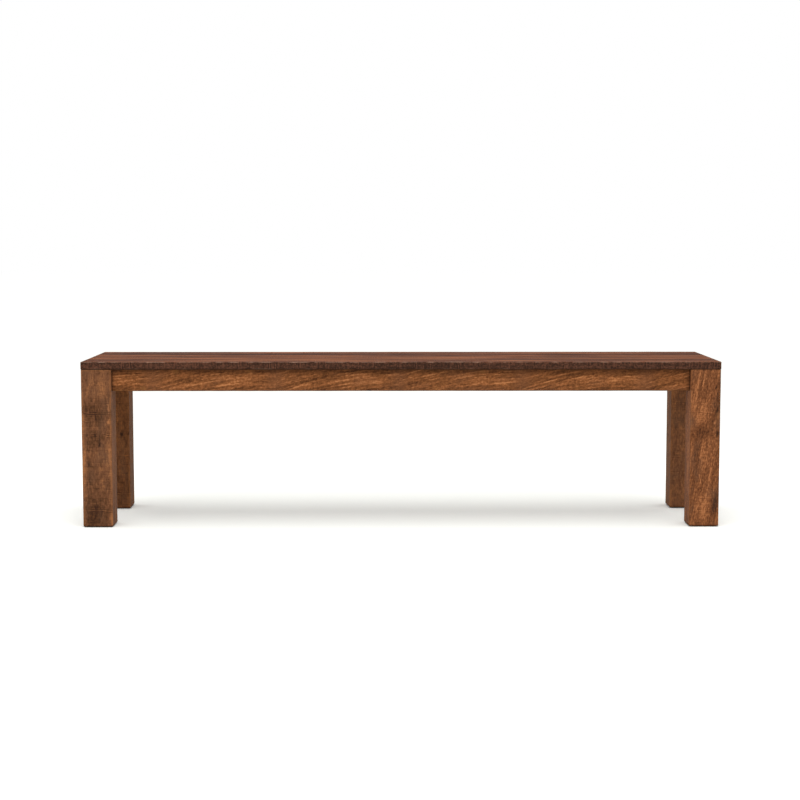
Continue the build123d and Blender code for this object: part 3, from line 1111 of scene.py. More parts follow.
@dataclass(frozen=True)
class WoodPiece:
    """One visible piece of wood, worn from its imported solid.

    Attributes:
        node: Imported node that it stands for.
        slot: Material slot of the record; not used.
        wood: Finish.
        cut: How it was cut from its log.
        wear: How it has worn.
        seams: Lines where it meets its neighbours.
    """

    node: str
    slot: str
    wood: StainedWood
    cut: Cut
    wear: Wear
    seams: tuple[Seam, ...] = ()

    def build(self) -> bpy.types.Object:
        """Make the worn piece, put it in place of its node and dress it.

        Returns:
            The new piece.
        """
        piece = self._finely_cut()
        self._rub(piece)
        piece.data.shade_smooth()
        piece.data.set_sharp_from_angle(angle=SHARP_ANGLE)
        self.wood.dress(piece, self.cut)
        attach(piece, ROOT)
        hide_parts(self.node)
        return piece

    def _finely_cut(self) -> bpy.types.Object:
        """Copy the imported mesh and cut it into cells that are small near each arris.

        Returns:
            Piece with the same surface in more faces.
        """
        low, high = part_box(self.node)
        form = bmesh.new()
        form.from_mesh(bpy.data.objects[self.node].data)
        bmesh.ops.remove_doubles(form, verts=form.verts, dist=SAME_PLACE)
        bmesh.ops.dissolve_limit(
            form, angle_limit=FLAT_ANGLE, verts=form.verts, edges=form.edges
        )
        along_mm, across_mm = self.wear.cell_mm
        along = [abs(part) for part in self.cut.grain.value]
        for axis in sorted(Axis, key=lambda place: -along[place]):
            pitch_mm = along_mm if along[axis] else across_mm
            normal = Vector(float(axis == place) for place in Axis)
            for level in self._cut_levels(low[axis], high[axis], pitch_mm):
                bmesh.ops.bisect_plane(
                    form,
                    geom=[*form.verts, *form.edges, *form.faces],
                    plane_co=normal * level,
                    plane_no=normal,
                    dist=SAME_PLACE,
                )
        large = [face for face in form.faces if len(face.verts) > 4]
        bmesh.ops.triangulate(form, faces=large)
        mesh = bpy.data.meshes.new(f"{self.node}_worn")
        form.to_mesh(mesh)
        form.free()
        if "custom_normal" in mesh.attributes:
            mesh.attributes.remove(mesh.attributes["custom_normal"])
        piece = bpy.data.objects.new(f"worn_{self.node}", mesh)
        bpy.context.scene.collection.objects.link(piece)
        return piece

    def _cut_levels(self, low: float, high: float, pitch_mm: float) -> list[float]:
        """Levels of the cuts across one axis.

        Args:
            low: Lowest level of the piece.
            high: Highest level of the piece.
            pitch_mm: Largest distance between two cuts.

        Returns:
            Levels that crowd towards both ends and are evenly spread between them.
        """
        near = [share * self.wear.arris_mm * MM for share in NEAR_ARRIS_SHARES]
        inner_low, inner_high = low + near[-1], high - near[-1]
        cells = max(1, math.ceil((inner_high - inner_low) / (pitch_mm * MM)))
        levels = [low + step for step in near] + [high - step for step in near]
        for cell in range(1, cells):
            levels.append(inner_low + (inner_high - inner_low) * cell / cells)
        return levels

    def _rub(self, piece: bpy.types.Object) -> None:
        """Round the arrises, press in the bruises and hollow the faces.

        Args:
            piece: Finely cut piece, whose vertices this moves inwards.
        """
        places = mesh_places(piece.data)
        low, high = (np.array(corner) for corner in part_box(self.node))
        wear = self.wear
        seed = int(self.cut.seed)
        change = wear.arris_change * unevenness(places, wear.arris_pitch_mm, seed)
        bruises = self._bruises(places, low, high, seed)
        radius = wear.arris_mm * MM * (1 + change) + bruises
        radius *= self._seam_crispness(places, low, high)
        largest = (high - low).min() * LARGEST_ARRIS_SHARE
        radius = np.clip(radius, LEAST_ARRIS_MM * MM, largest)[:, None]
        core = np.clip(places, low + radius, high - radius)
        out = places - core
        reach = np.linalg.norm(out, axis=1, keepdims=True)
        onto = core + out / np.maximum(reach, SAME_PLACE) * radius
        rubbed = np.where(reach > radius, onto, places)
        rubbed = self._hollow(rubbed, low, high, seed)
        piece.data.vertices.foreach_set("co", rubbed.astype(np.float32).ravel())
        # The stain is off in a bruise from half the depth of a large one on
        self._write(piece.data, WORN, np.clip(2 * bruises / (wear.bruise_mm[0] * MM), 0, 1))
        # Painted shade along the seams, with some grime, for the material to darken
        self._write(piece.data, GRIME_AND_SHADE, self._grime(rubbed, low, high))

    def _seam_crispness(
        self, places: np.ndarray, low: np.ndarray, high: np.ndarray
    ) -> np.ndarray:
        """Share of the arris radius that is left near the seams.

        Args:
            places: Places of the vertices.
            low: Low corner of the piece.
            high: High corner of the piece.

        Returns:
            Share for each place, 1 away from the seams.
        """
        share = np.ones(len(places))
        for seam in self.seams:
            away = seam.away(places, low, high) / (CRISP_RADII * self.wear.arris_mm * MM)
            left = self.wear.seam_share + (1 - self.wear.seam_share) * np.clip(away, 0, 1)
            share = np.minimum(share, left)
        return share

    def _bruises(
        self, places: np.ndarray, low: np.ndarray, high: np.ndarray, seed: int
    ) -> np.ndarray:
        """Extra radius where an arris along the piece has been knocked.

        Args:
            places: Places of the vertices.
            low: Low corner of the piece.
            high: High corner of the piece.
            seed: Number that picks the places of the bruises.

        Returns:
            Extra radius for each place, in metres.
        """
        draws = np.random.default_rng(seed + BRUISE_SEED)
        long_axis = int(np.argmax(high - low))
        extra = np.zeros(len(places))
        for _ in range(self.wear.bruises):
            corner = np.where(draws.random(3) < 0.5, low, high)
            corner[long_axis] = draws.uniform(low[long_axis], high[long_axis])
            depth, reach = (
                size * draws.uniform(*BRUISE_SIZES) * MM for size in self.wear.bruise_mm
            )
            apart = np.linalg.norm(places - corner, axis=1)
            extra += depth * np.exp(-((apart / reach) ** 2))
        return extra

    def _hollow(
        self, places: np.ndarray, low: np.ndarray, high: np.ndarray, seed: int
    ) -> np.ndarray:
        """Press shallow hollows into the outer faces.

        Args:
            places: Places of the vertices.
            low: Low corner of the piece.
            high: High corner of the piece.
            seed: Number that picks the hollows.

        Returns:
            Places, moved inwards.
        """
        moved = places.copy()
        pitch_mm = self.wear.hollow_pitch_mm
        for axis in Axis:
            for level, inward in ((low[axis], 1), (high[axis], -1)):
                wave = unevenness(places, pitch_mm, seed + HOLLOW_SEED + axis + inward)
                depth = self.wear.hollow_mm * MM * np.clip(0.5 + 0.5 * wave, 0, 1)
                below = np.abs(places[:, axis] - level) / (HOLLOW_SKIN_MM * MM)
                moved[:, axis] += inward * depth * np.clip(1 - below, 0, 1)
        return moved

    def _grime(self, places: np.ndarray, low: np.ndarray, high: np.ndarray) -> np.ndarray:
        """Painted shade and old grime along the seams, strongest right at them.

        Args:
            places: Places of the vertices.
            low: Low corner of the piece.
            high: High corner of the piece.

        Returns:
            Amount from 0 to 1 for each place.
        """
        amount = np.zeros(len(places))
        inside = np.clip(np.minimum(places - low, high - places), 0, None)
        for seam in self.seams:
            away = seam.away(places, low, high) / (seam.reach_mm * MM)
            from_rim = np.delete(inside, seam.axis, axis=1).min(axis=1) / (GRIME_AND_SHADE_RIM_MM * MM)
            gathered = seam.share * np.exp(-(away**2) - from_rim**2)
            amount = np.maximum(amount, gathered)
        return amount

    @staticmethod
    def _write(mesh: bpy.types.Mesh, name: str, values: np.ndarray) -> None:
        """Keep a number for each vertex in the mesh, for its material to read."""
        layer = mesh.attributes.new(name, "FLOAT", "POINT")
        layer.data.foreach_set("value", values.astype(np.float32))


@dataclass(frozen=True)
class ZincSteel:
    """Zinc-plated steel, barrel-finished: a soft grey metal with a faint yellow cast.

    The plating is dull in patches, so highlights break up over a screw head.

    Attributes:
        name: Start of the names of its materials.
        bright: Shade of the fresh plating.
        dull: Shade of its dull patches.
        roughness: Roughness of the fresh plating.
        dull_rougher: How much rougher the dull patches are.
        dull_range: Where the dull patches start and where they are full.
        mottle_mm: Size of a patch.
        relief: Strength of the unevenness.
        relief_mm: Height of the unevenness.
    """

    name: str = "zinc_plated_steel"
    bright: str = "C9C7BE"
    dull: str = "98948A"
    roughness: float = 0.32
    dull_rougher: float = 0.2
    dull_range: tuple[float, float] = (0.3, 0.7)
    mottle_mm: float = 3.0
    relief: float = 0.2
    relief_mm: float = 0.05

    def dress(self, piece: bpy.types.Object) -> None:
        """Give a piece this finish.

        Args:
            piece: Piece whose only material this becomes.
        """
        material, tree = blank_tree(f"{self.name}_{piece.name}")
        place = add(tree, Node.COORDINATES, out="Object")
        mottle = {"Vector": place, "Scale": 1 / (self.mottle_mm * MM), "Detail": 4.0}
        mottle = add(tree, Node.NOISE, inputs=mottle)
        shades = {
            FACTOR: mottle,
            COLOUR_A: linear(self.bright),
            COLOUR_B: linear(self.dull),
        }
        rough = (self.roughness, self.roughness + self.dull_rougher)
        relief = {
            "Height": mottle,
            "Strength": self.relief,
            "Distance": self.relief_mm * MM,
        }
        surface = {
            "Base Color": add(tree, Node.MIX, inputs=shades, out=COLOUR_OUT, data_type="RGBA"),
            "Metallic": 1.0,
            "Roughness": add(tree, Node.RANGE, mottle, *self.dull_range, *rough),
            "Normal": add(tree, Node.BUMP, inputs=relief),
        }
        add(tree, Node.OUTPUT, add(tree, Node.PRINCIPLED, inputs=surface))
        dress_with(piece, material)


@dataclass(frozen=True)
class MouldedNylon:
    """Injection-moulded nylon: dark, with the soft dry sheen of a fine spark-eroded mould.

    Attributes:
        name: Start of the names of its materials.
        colour: Shade of the nylon.
        scuffed: Shade where the floor has scuffed it.
        scuff_mm: Size of a scuff.
        scuff_range: Where a scuff starts and where it is full.
        scuff_share: How far a full scuff hides the nylon.
        roughness: Roughness of the mould's grain.
        scuff_rougher: How much rougher a scuff is.
        ior: Index of refraction of nylon.
        grain_mm: Size of the mould's grain.
        relief: Strength of that grain.
        relief_mm: Height of that grain.
    """

    name: str = "moulded_nylon"
    colour: str = "2B2723"
    scuffed: str = "4A443D"
    scuff_mm: float = 9.0
    scuff_range: tuple[float, float] = (0.5, 0.7)
    scuff_share: float = 0.8
    roughness: float = 0.5
    scuff_rougher: float = 0.2
    ior: float = 1.53
    grain_mm: float = 0.6
    relief: float = 0.3
    relief_mm: float = 0.04

    def dress(self, piece: bpy.types.Object) -> None:
        """Give a piece this finish.

        Args:
            piece: Piece whose only material this becomes.
        """
        material, tree = blank_tree(f"{self.name}_{piece.name}")
        place = add(tree, Node.COORDINATES, out="Object")
        grain = {"Vector": place, "Scale": 1 / (self.grain_mm * MM), "Detail": 2.0}
        scuffs = {"Vector": place, "Scale": 1 / (self.scuff_mm * MM), "Detail": 5.0}
        scuffs = add(tree, Node.NOISE, inputs=scuffs)
        scuffs = add(tree, Node.RANGE, scuffs, *self.scuff_range, 0.0, self.scuff_share)
        shades = {
            FACTOR: scuffs,
            COLOUR_A: linear(self.colour),
            COLOUR_B: linear(self.scuffed),
        }
        rough = (self.scuff_rougher, self.roughness)
        relief = {
            "Height": add(tree, Node.NOISE, inputs=grain),
            "Strength": self.relief,
            "Distance": self.relief_mm * MM,
        }
        surface = {
            "Base Color": add(tree, Node.MIX, inputs=shades, out=COLOUR_OUT, data_type="RGBA"),
            "Roughness": add(tree, Node.MATH, scuffs, *rough, operation="MULTIPLY_ADD"),
            "IOR": self.ior,
            "Normal": add(tree, Node.BUMP, inputs=relief),
        }
        add(tree, Node.OUTPUT, add(tree, Node.PRINCIPLED, inputs=surface))
        dress_with(piece, material)


def dress_with(piece: bpy.types.Object, material: bpy.types.Material) -> None:
    """Make one material the only one of a piece."""
    piece.data.materials.clear()
    piece.data.materials.append(material)


# Woods of the bench

SEAT_WOOD = StainedWood(
    name="seat_mango",
    shades=("31180D", "4B2A1A", "603824", "73452D", "8A5639"),
    grey="5A4033",
    # Lighter and greyer than rubbed wood: a painted highlight along the arrises as well as wear
    worn="B08D78",
    edge_stain="462D22",
    edge_stain_share=0.95,
    end_stain_share=0.9,
    ring_mm=30.0,
    ring_strength=0.8,
    layers=(
        Layer((420.0, 34.0), 1.8, 1.0),
        Layer((220.0, 15.0), 1.3, 2.0),
        Layer((70.0, 5.0), 1.0, 2.0),
    ),
    saw_pitch_mm=3.1,
    saw_strength=1.5,
    edge_saw_strength=4.8,
    edge_mark_share=0.45,
    edge_speckle=3.2,
    worn_share=0.7,
    worn_reach_mm=2.6,
    roughness=0.75,
    specular=0.05,
)
LEG_WOOD = StainedWood(
    name="leg_mango",
    shades=("381F14", "573720", "6B442D", "7E5234", "9E6740"),
    grey="594132",
    worn="98633C",
    edge_stain="3D2418",
    ring_strength=0.7,
    layers=(
        Layer((110.0, 26.0), 0.6),
        Layer((34.0, 8.0), 0.5),
        Layer((9.0, 3.6), 1.1),
    ),
    saw_pitch_mm=3.0,
    saw_strength=1.2,
    worn_reach_mm=10.0,
    worn_share=0.6,
    roughness=0.7,
    specular=0.08,
)
WARM_LEG_WOOD = replace(
    LEG_WOOD,
    name="warm_leg_mango",
    shades=("371D10", "55331A", "694025", "7B4D2B", "9B6034"),
)
FLAMED_LEG_WOOD = replace(
    LEG_WOOD,
    name="flamed_leg_mango",
    shades=("3B1F12", "5D361D", "714428", "865231", "A86C43"),
    layers=(
        Layer((110.0, 26.0), 0.5),
        Layer((150.0, 5.0), 0.5, 2.0, sparse=True),
        Layer((50.0, 7.0), 0.6),
        Layer((8.0, 3.8), 1.55),
    ),
    saw_strength=0.7,
    worn_reach_mm=4.0,
)
APRON_WOOD = StainedWood(
    name="apron_mango",
    shades=("43220E", "653C1F", "7D4C2A", "915832", "B57649"),
    grey="764B31",
    worn="A66E3C",
    edge_stain="3F2619",
    ring_mm=10.0,
    ring_strength=0.6,
    layers=(
        Layer((120.0, 26.0), 0.4),
        Layer((80.0, 6.0), 0.8, 1.0),
        Layer((110.0, 4.0), 0.55, 1.0, sparse=True),
        Layer((8.0, 4.2), 1.4),
    ),
    saw_pitch_mm=3.4,
    saw_strength=3.5,
    roughness=0.7,
    specular=0.08,
)
FRAME_WOOD = StainedWood(
    name="frame_mango",
    shades=("5B3D28", "8A6444", "9C7350", "AC8460", "C39C74"),
    grey="84694F",
    worn="B89470",
    edge_stain="5A4030",
    roughness=0.75,
    specular=0.2,
)
TONGUE_WOOD = StainedWood(
    name="bare_mango",
    shades=("8C6A45", "B08C60", "BD9A6D", "CBAB80", "D9BE96"),
    grey="A98F70",
    worn="D0B083",
    edge_stain="8F7352",
    roughness=0.75,
    specular=0.2,
)


@dataclass(frozen=True)
class Seat:
    """Seat: four boards side by side, with a loose tongue in each joint.

    Attributes:
        boards: Nodes of the boards, from front to back.
        tongues: Nodes of the tongues, from front to back.
        wear: How the boards have worn.
        tones: How much lighter or darker each board is than its wood.
        piths_mm: Place of each board's pith, from its middle across the grain.
        first_seed: Number that picks the marks of the front board.
        seed_step: Step from one board's number to the next.
        bottom_seam: Where the boards lie on the legs and aprons, with a painted shadow line and grime
            along it.
        streak_shares: Dark streaks at the joint of the two rear boards, as shares of its length.
        streak_sides: Boards that share those streaks, and the streaks' place across each.
        streak_reach_mm: Reach of a streak along the grain and across it.
        streak_lift: How much darker a streak is.
        band_reach_mm: Reach of the dark band all along that joint.
        band_lift: How much darker that band is.
        tongue_pith_mm: Place of the pith of a tongue.
        tongue_seed: Number that picks the marks of the front tongue.
    """

    boards: tuple[str, ...] = (
        "seat_board_front",
        "seat_board_front_inner",
        "seat_board_back_inner",
        "seat_board_back",
    )
    tongues: tuple[str, ...] = ("seat_tongue_front", "seat_tongue_middle", "seat_tongue_back")
    wear: Wear = Wear(arris_mm=1.3, arris_change=0.2, bruises=0, hollow_mm=0.15)
    tones: tuple[float, ...] = (0.02, 0.03, 0.04, 0.02)
    piths_mm: tuple[tuple[float, float], ...] = ((20, -48), (-34, -60), (12, 55), (-26, -52))
    first_seed: float = 3.0
    seed_step: float = 11.0
    # Painted shadow line under the boards, where they lie on the legs and aprons
    bottom_seam: Seam = Seam(Axis.Z, End.LOW, reach_mm=2.0)
    streak_shares: tuple[float, ...] = (0.045, 0.25, 0.49, 0.77)
    streak_sides: tuple[tuple[str, float], ...] = (
        ("seat_board_back_inner", 0.84),
        ("seat_board_back", -0.16),
    )
    streak_reach_mm: tuple[float, float] = (75.0, 15.0)
    streak_lift: float = -0.35
    band_reach_mm: tuple[float, float] = (3000.0, 52.0)
    band_lift: float = -0.34
    tongue_pith_mm: tuple[float, float] = (30.0, 40.0)
    tongue_seed: float = 61.0

    def build(self) -> list[bpy.types.Object]:
        """Build and dress the boards and dress the tongues.

        Returns:
            The pieces.
        """
        pieces = []
        for place, board in enumerate(self.boards):
            seams = [self.bottom_seam]
            if board != self.boards[0]:
                seams.append(Seam(Axis.Y, End.LOW))
            if board != self.boards[-1]:
                seams.append(Seam(Axis.Y, End.HIGH))
            cut = Cut(
                grain=Grain.ALONG_BENCH,
                pith_mm=self.piths_mm[place],
                seed=self.first_seed + self.seed_step * place,
                tone=self.tones[place],
                clouds=self._streaks(board),
            )
            piece = WoodPiece(board, "seat_wood", SEAT_WOOD, cut, self.wear, tuple(seams))
            pieces.append(piece.build())
        for place, tongue in enumerate(self.tongues):
            node = bpy.data.objects[tongue]
            cut = Cut(Grain.ALONG_BENCH, self.tongue_pith_mm, self.tongue_seed + place)
            TONGUE_WOOD.dress(node, cut)
            pieces.append(node)
        return pieces

    def _streaks(self, board: str) -> tuple[Cloud, ...]:
        """Dark streaks and band of the two rear boards, which share them across their joint.

        Args:
            board: Node of a board.

        Returns:
            Its streaks, none for the other boards.
        """
        side = dict(self.streak_sides).get(board)
        if side is None:
            return ()
        streaks = (
            Cloud((share, side, 1.0), self.streak_reach_mm, self.streak_lift)
            for share in self.streak_shares
        )
        return Cloud((0.5, side, 1.0), self.band_reach_mm, self.band_lift), *streaks


@dataclass(frozen=True)
class Legs:
    """Four block legs, each of one thick piece with its grain upright.

    Attributes:
        wear: How they have worn.
        seams: Seams under the seat and at the floor, with painted shadow lines and some grime along
            them.
    """

    wear: Wear = Wear(arris_mm=2.2, bruises=8)
    seams: tuple[Seam, ...] = (
        # Painted shadow line under the seat, and painted contact shadow at the floor
        Seam(Axis.Z, End.HIGH, reach_mm=1.2),
        Seam(Axis.Z, End.LOW, reach_mm=3.4, share=0.85),
    )

    def build(self) -> list[bpy.types.Object]:
        """Build and dress the four legs.

        Returns:
            The legs.
        """
        return [
            WoodPiece(f"leg_{corner}", "leg_wood", wood, cut, self.wear, self.seams).build()
            for corner, (wood, cut) in self._cuts().items()
        ]

    def _cuts(self) -> dict[str, tuple[StainedWood, Cut]]:
        """Wood and cut of each leg, with the knots and stains that show on its front.

        Returns:
            The wood and the cut, by the corner of the leg.
        """
        return {
            "front_left": (LEG_WOOD, self._front_left()),
            "front_right": (FLAMED_LEG_WOOD, self._front_right()),
            "back_left": (
                WARM_LEG_WOOD,
                Cut(Grain.UPRIGHT, (40, 60), 127.0, 0.02, (Knot((0.72, 0.0, 0.505), 3.5),)),
            ),
            "back_right": (LEG_WOOD, Cut(Grain.UPRIGHT, (-45, 75), 139.0, 0.12)),
        }

    def _front_left(self) -> Cut:
        """Smooth brown leg with a dark sawn band above its middle, golden down its outer arris.

        Returns:
            Its cut.
        """
        return Cut(
            Grain.UPRIGHT,
            (30, 70),
            101.0,
            knots=(Knot((0.45, 0.0, 0.585), 2.8), Knot((0.6, 0.0, 0.525), 3.2)),
            clouds=(
                Cloud((0.7, 0.0, 0.9), (32, 18), 0.2),
                Cloud((0.45, 0.0, 0.73), (40, 44), -0.34),
                Cloud((0.45, 0.0, 0.56), (34, 34), -0.24),
                Cloud((0.914, 0.0, 0.755), (13, 2.8), 0.9),
                Cloud((0.9, 0.0, 0.668), (9, 5.0), 0.9),
                Cloud((0.9, 0.0, 0.45), (60, 9), 0.26),
                Cloud((0.25, 0.0, 0.4), (14, 7), -0.34),
                Cloud((0.6, 0.0, 0.365), (8, 7), 0.24),
                Cloud((0.05, 0.0, 0.5), (210, 9), 0.34),
                Cloud((0.45, 0.0, 0.09), (60, 40), -0.36),
                Cloud((0.97, 0.0, 0.05), (18, 8), 0.34),
                # Lighter down the inner side face: painted sheen of the light that face catches
                Cloud((1.0, 0.25, 0.5), (230, 9), 0.3),
                Cloud((1.0, 0.6, 0.5), (230, 30), 0.12),
            ),
            sawn=(
                Cloud((0.45, 0.0, 0.74), (44, 42), 0.7),
                Cloud((0.45, 0.0, 0.16), (50, 42), 0.8),
            ),
        )

    def _front_right(self) -> Cut:
        """Flamed leg whose light streaks lean, with dark sap and knots down its outer arris.

        Returns:
            Its cut.
        """
        return Cut(
            Grain.UPRIGHT,
            (-20, 90),
            113.0,
            0.05,
            knots=(
                Knot((0.84, 0.0, 0.885), 2.0, 2.4),
                Knot((0.88, 0.0, 0.735), 3.0, 2.4),
                Knot((0.9, 0.0, 0.59), 2.8, 2.4),
            ),
            clouds=(
                Cloud((0.43, 0.0, 0.93), (34, 2.8), 0.5),
                Cloud((0.2, 0.0, 0.9), (50, 5), 0.24),
                Cloud((0.42, 0.0, 0.73), (34, 24), 0.24),
                Cloud((0.3, 0.0, 0.6), (22, 28), -0.22),
                Cloud((0.4, 0.0, 0.42), (60, 9), 0.2),
                Cloud((0.37, 0.0, 0.28), (11, 2.8), 0.6),
                Cloud((0.42, 0.0, 0.13), (40, 22), 0.2),
                Cloud((0.9, 0.0, 0.78), (84, 13), -0.26),
                Cloud((0.82, 0.0, 0.665), (8, 4), 0.5),
                Cloud((0.95, 0.0, 0.4), (120, 9), -0.16),
                Cloud((0.86, 0.0, 0.14), (34, 11), -0.4),
                # Lighter down the inner side face: painted sheen of the light that face catches
                Cloud((0.0, 0.4, 0.5), (230, 32), 0.26),
            ),
            lean=0.15,
            sawn=(
                Cloud((0.45, 0.0, 0.73), (34, 28), 1.6),
                Cloud((0.45, 0.0, 0.13), (44, 28), 1.4),
            ),
        )


@dataclass(frozen=True)
class Aprons:
    """Four aprons tenoned into the legs.

    Attributes:
        wear: How they have worn.
        tenon_mm: Length of a tenon, from its end to the shoulder at the leg.
        shoulder_reach_mm: How far the painted shade fades out from a shoulder.
        seams: Painted shade and grime under the seat and along the lower arrises.
        figure: Figure of the long aprons.
    """

    wear: Wear = Wear(arris_mm=1.0, bruises=12)
    tenon_mm: float = 55.5
    shoulder_reach_mm: float = 2.8
    # Painted shade under the seat's overhang, with grime along the lower arrises
    seams: tuple[Seam, ...] = (
        Seam(Axis.Z, End.HIGH, reach_mm=3.5),
        Seam(Axis.Z, End.LOW, reach_mm=3.4, share=0.6),
    )
    figure: Figure = Figure(pitch_mm=344.0, first_patch_mm=-118.0)

    def build(self) -> list[bpy.types.Object]:
        """Build and dress the four aprons.

        Returns:
            The aprons.
        """
        cuts = {
            "front": Cut(Grain.ALONG_BENCH, (18, 70), 211.0, figure=self.figure),
            "back": Cut(Grain.ALONG_BENCH, (-20, -80), 223.0, figure=self.figure),
            "left": Cut(Grain.ACROSS_BENCH, (24, 66), 227.0),
            "right": Cut(Grain.ACROSS_BENCH, (-18, -72), 229.0),
        }
        pieces = []
        for side, cut in cuts.items():
            axis = Axis.X if cut.grain is Grain.ALONG_BENCH else Axis.Y
            # Painted shadow lines where the apron ends meet the legs
            shoulders = (
                Seam(axis, end, self.tenon_mm, self.shoulder_reach_mm) for end in End
            )
            seams = (*self.seams, *shoulders)
            apron = WoodPiece(f"apron_{side}", "apron_wood", APRON_WOOD, cut, self.wear, seams)
            pieces.append(apron.build())
        return pieces


@dataclass(frozen=True)
class HiddenFrame:
    """Cross rails, corner blocks and buttons under the seat, as they are in the frame.

    Attributes:
        rails_and_buttons: Nodes whose grain runs from front to back.
        block_grains: Corners with a block, and the way in which its grain runs.
        pith_mm: Place of the pith of each piece.
        first_seed: Number that picks the marks of the first piece.
        seed_step: Step from one piece's number to the next.
    """

    rails_and_buttons: tuple[str, ...] = (
        "cross_rail_left",
        "cross_rail_right",
        "seat_buttons_front",
        "seat_buttons_back",
    )
    block_grains: tuple[tuple[str, Grain], ...] = (
        ("front_left", Grain.FALLING_DIAGONAL),
        ("front_right", Grain.RISING_DIAGONAL),
        ("back_left", Grain.RISING_DIAGONAL),
        ("back_right", Grain.FALLING_DIAGONAL),
    )
    pith_mm: tuple[float, float] = (26.0, 44.0)
    first_seed: float = 307.0
    seed_step: float = 13.0

    def build(self) -> list[bpy.types.Object]:
        """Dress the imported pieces.

        Returns:
            The pieces.
        """
        grains = [(name, Grain.ACROSS_BENCH) for name in self.rails_and_buttons]
        grains += [(f"corner_block_{corner}", grain) for corner, grain in self.block_grains]
        pieces = []
        for place, (name, grain) in enumerate(grains):
            node = bpy.data.objects[name]
            cut = Cut(grain, self.pith_mm, self.first_seed + self.seed_step * place)
            FRAME_WOOD.dress(node, cut)
            pieces.append(node)
        return pieces


@dataclass(frozen=True)
class Fittings:
    """Screws of plated steel and nylon glides, as they are in the frame.

    Attributes:
        steel: Finish of the screws.
        screws: Nodes of the screws.
        nylon: Finish of the glides.
        glides: Nodes of the glides.
    """

    steel: ZincSteel = ZincSteel()
    screws: tuple[str, ...] = ("seat_screws", "corner_block_coach_screws")
    nylon: MouldedNylon = MouldedNylon()
    glides: tuple[str, ...] = (
        "foot_glide_front_left",
        "foot_glide_front_right",
        "foot_glide_back_left",
        "foot_glide_back_right",
    )

    def build(self) -> list[bpy.types.Object]:
        """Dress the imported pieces.

        Returns:
            The pieces.
        """
        pieces = []
        for finish, names in ((self.steel, self.screws), (self.nylon, self.glides)):
            for name in names:
                node = bpy.data.objects[name]
                finish.dress(node)
                pieces.append(node)
        return pieces


@dataclass(frozen=True)
class Softbox:
    """Rectangular lamp behind white cloth.

    Attributes:
        name: Name of the lamp.
        place: Its middle.
        target: Point that it faces.
        size: Its width and height.
        power: Its power in watts.
    """

    name: str
    place: tuple[float, float, float]
    target: tuple[float, float, float]
    size: tuple[float, float]
    power: float

    def hang(self) -> None:
        """Put the lamp in the scene, out of the camera's sight."""
        lamp = bpy.data.lights.new(self.name, "AREA")
        lamp.shape = "RECTANGLE"
        lamp.size, lamp.size_y = self.size
        lamp.energy = self.power
        holder = bpy.data.objects.new(self.name, lamp)
        holder.location = self.place
        aim = Vector(self.target) - Vector(self.place)
        holder.rotation_euler = aim.to_track_quat("-Z", "Y").to_euler()
        holder.visible_camera = False
        bpy.context.scene.collection.objects.link(holder)


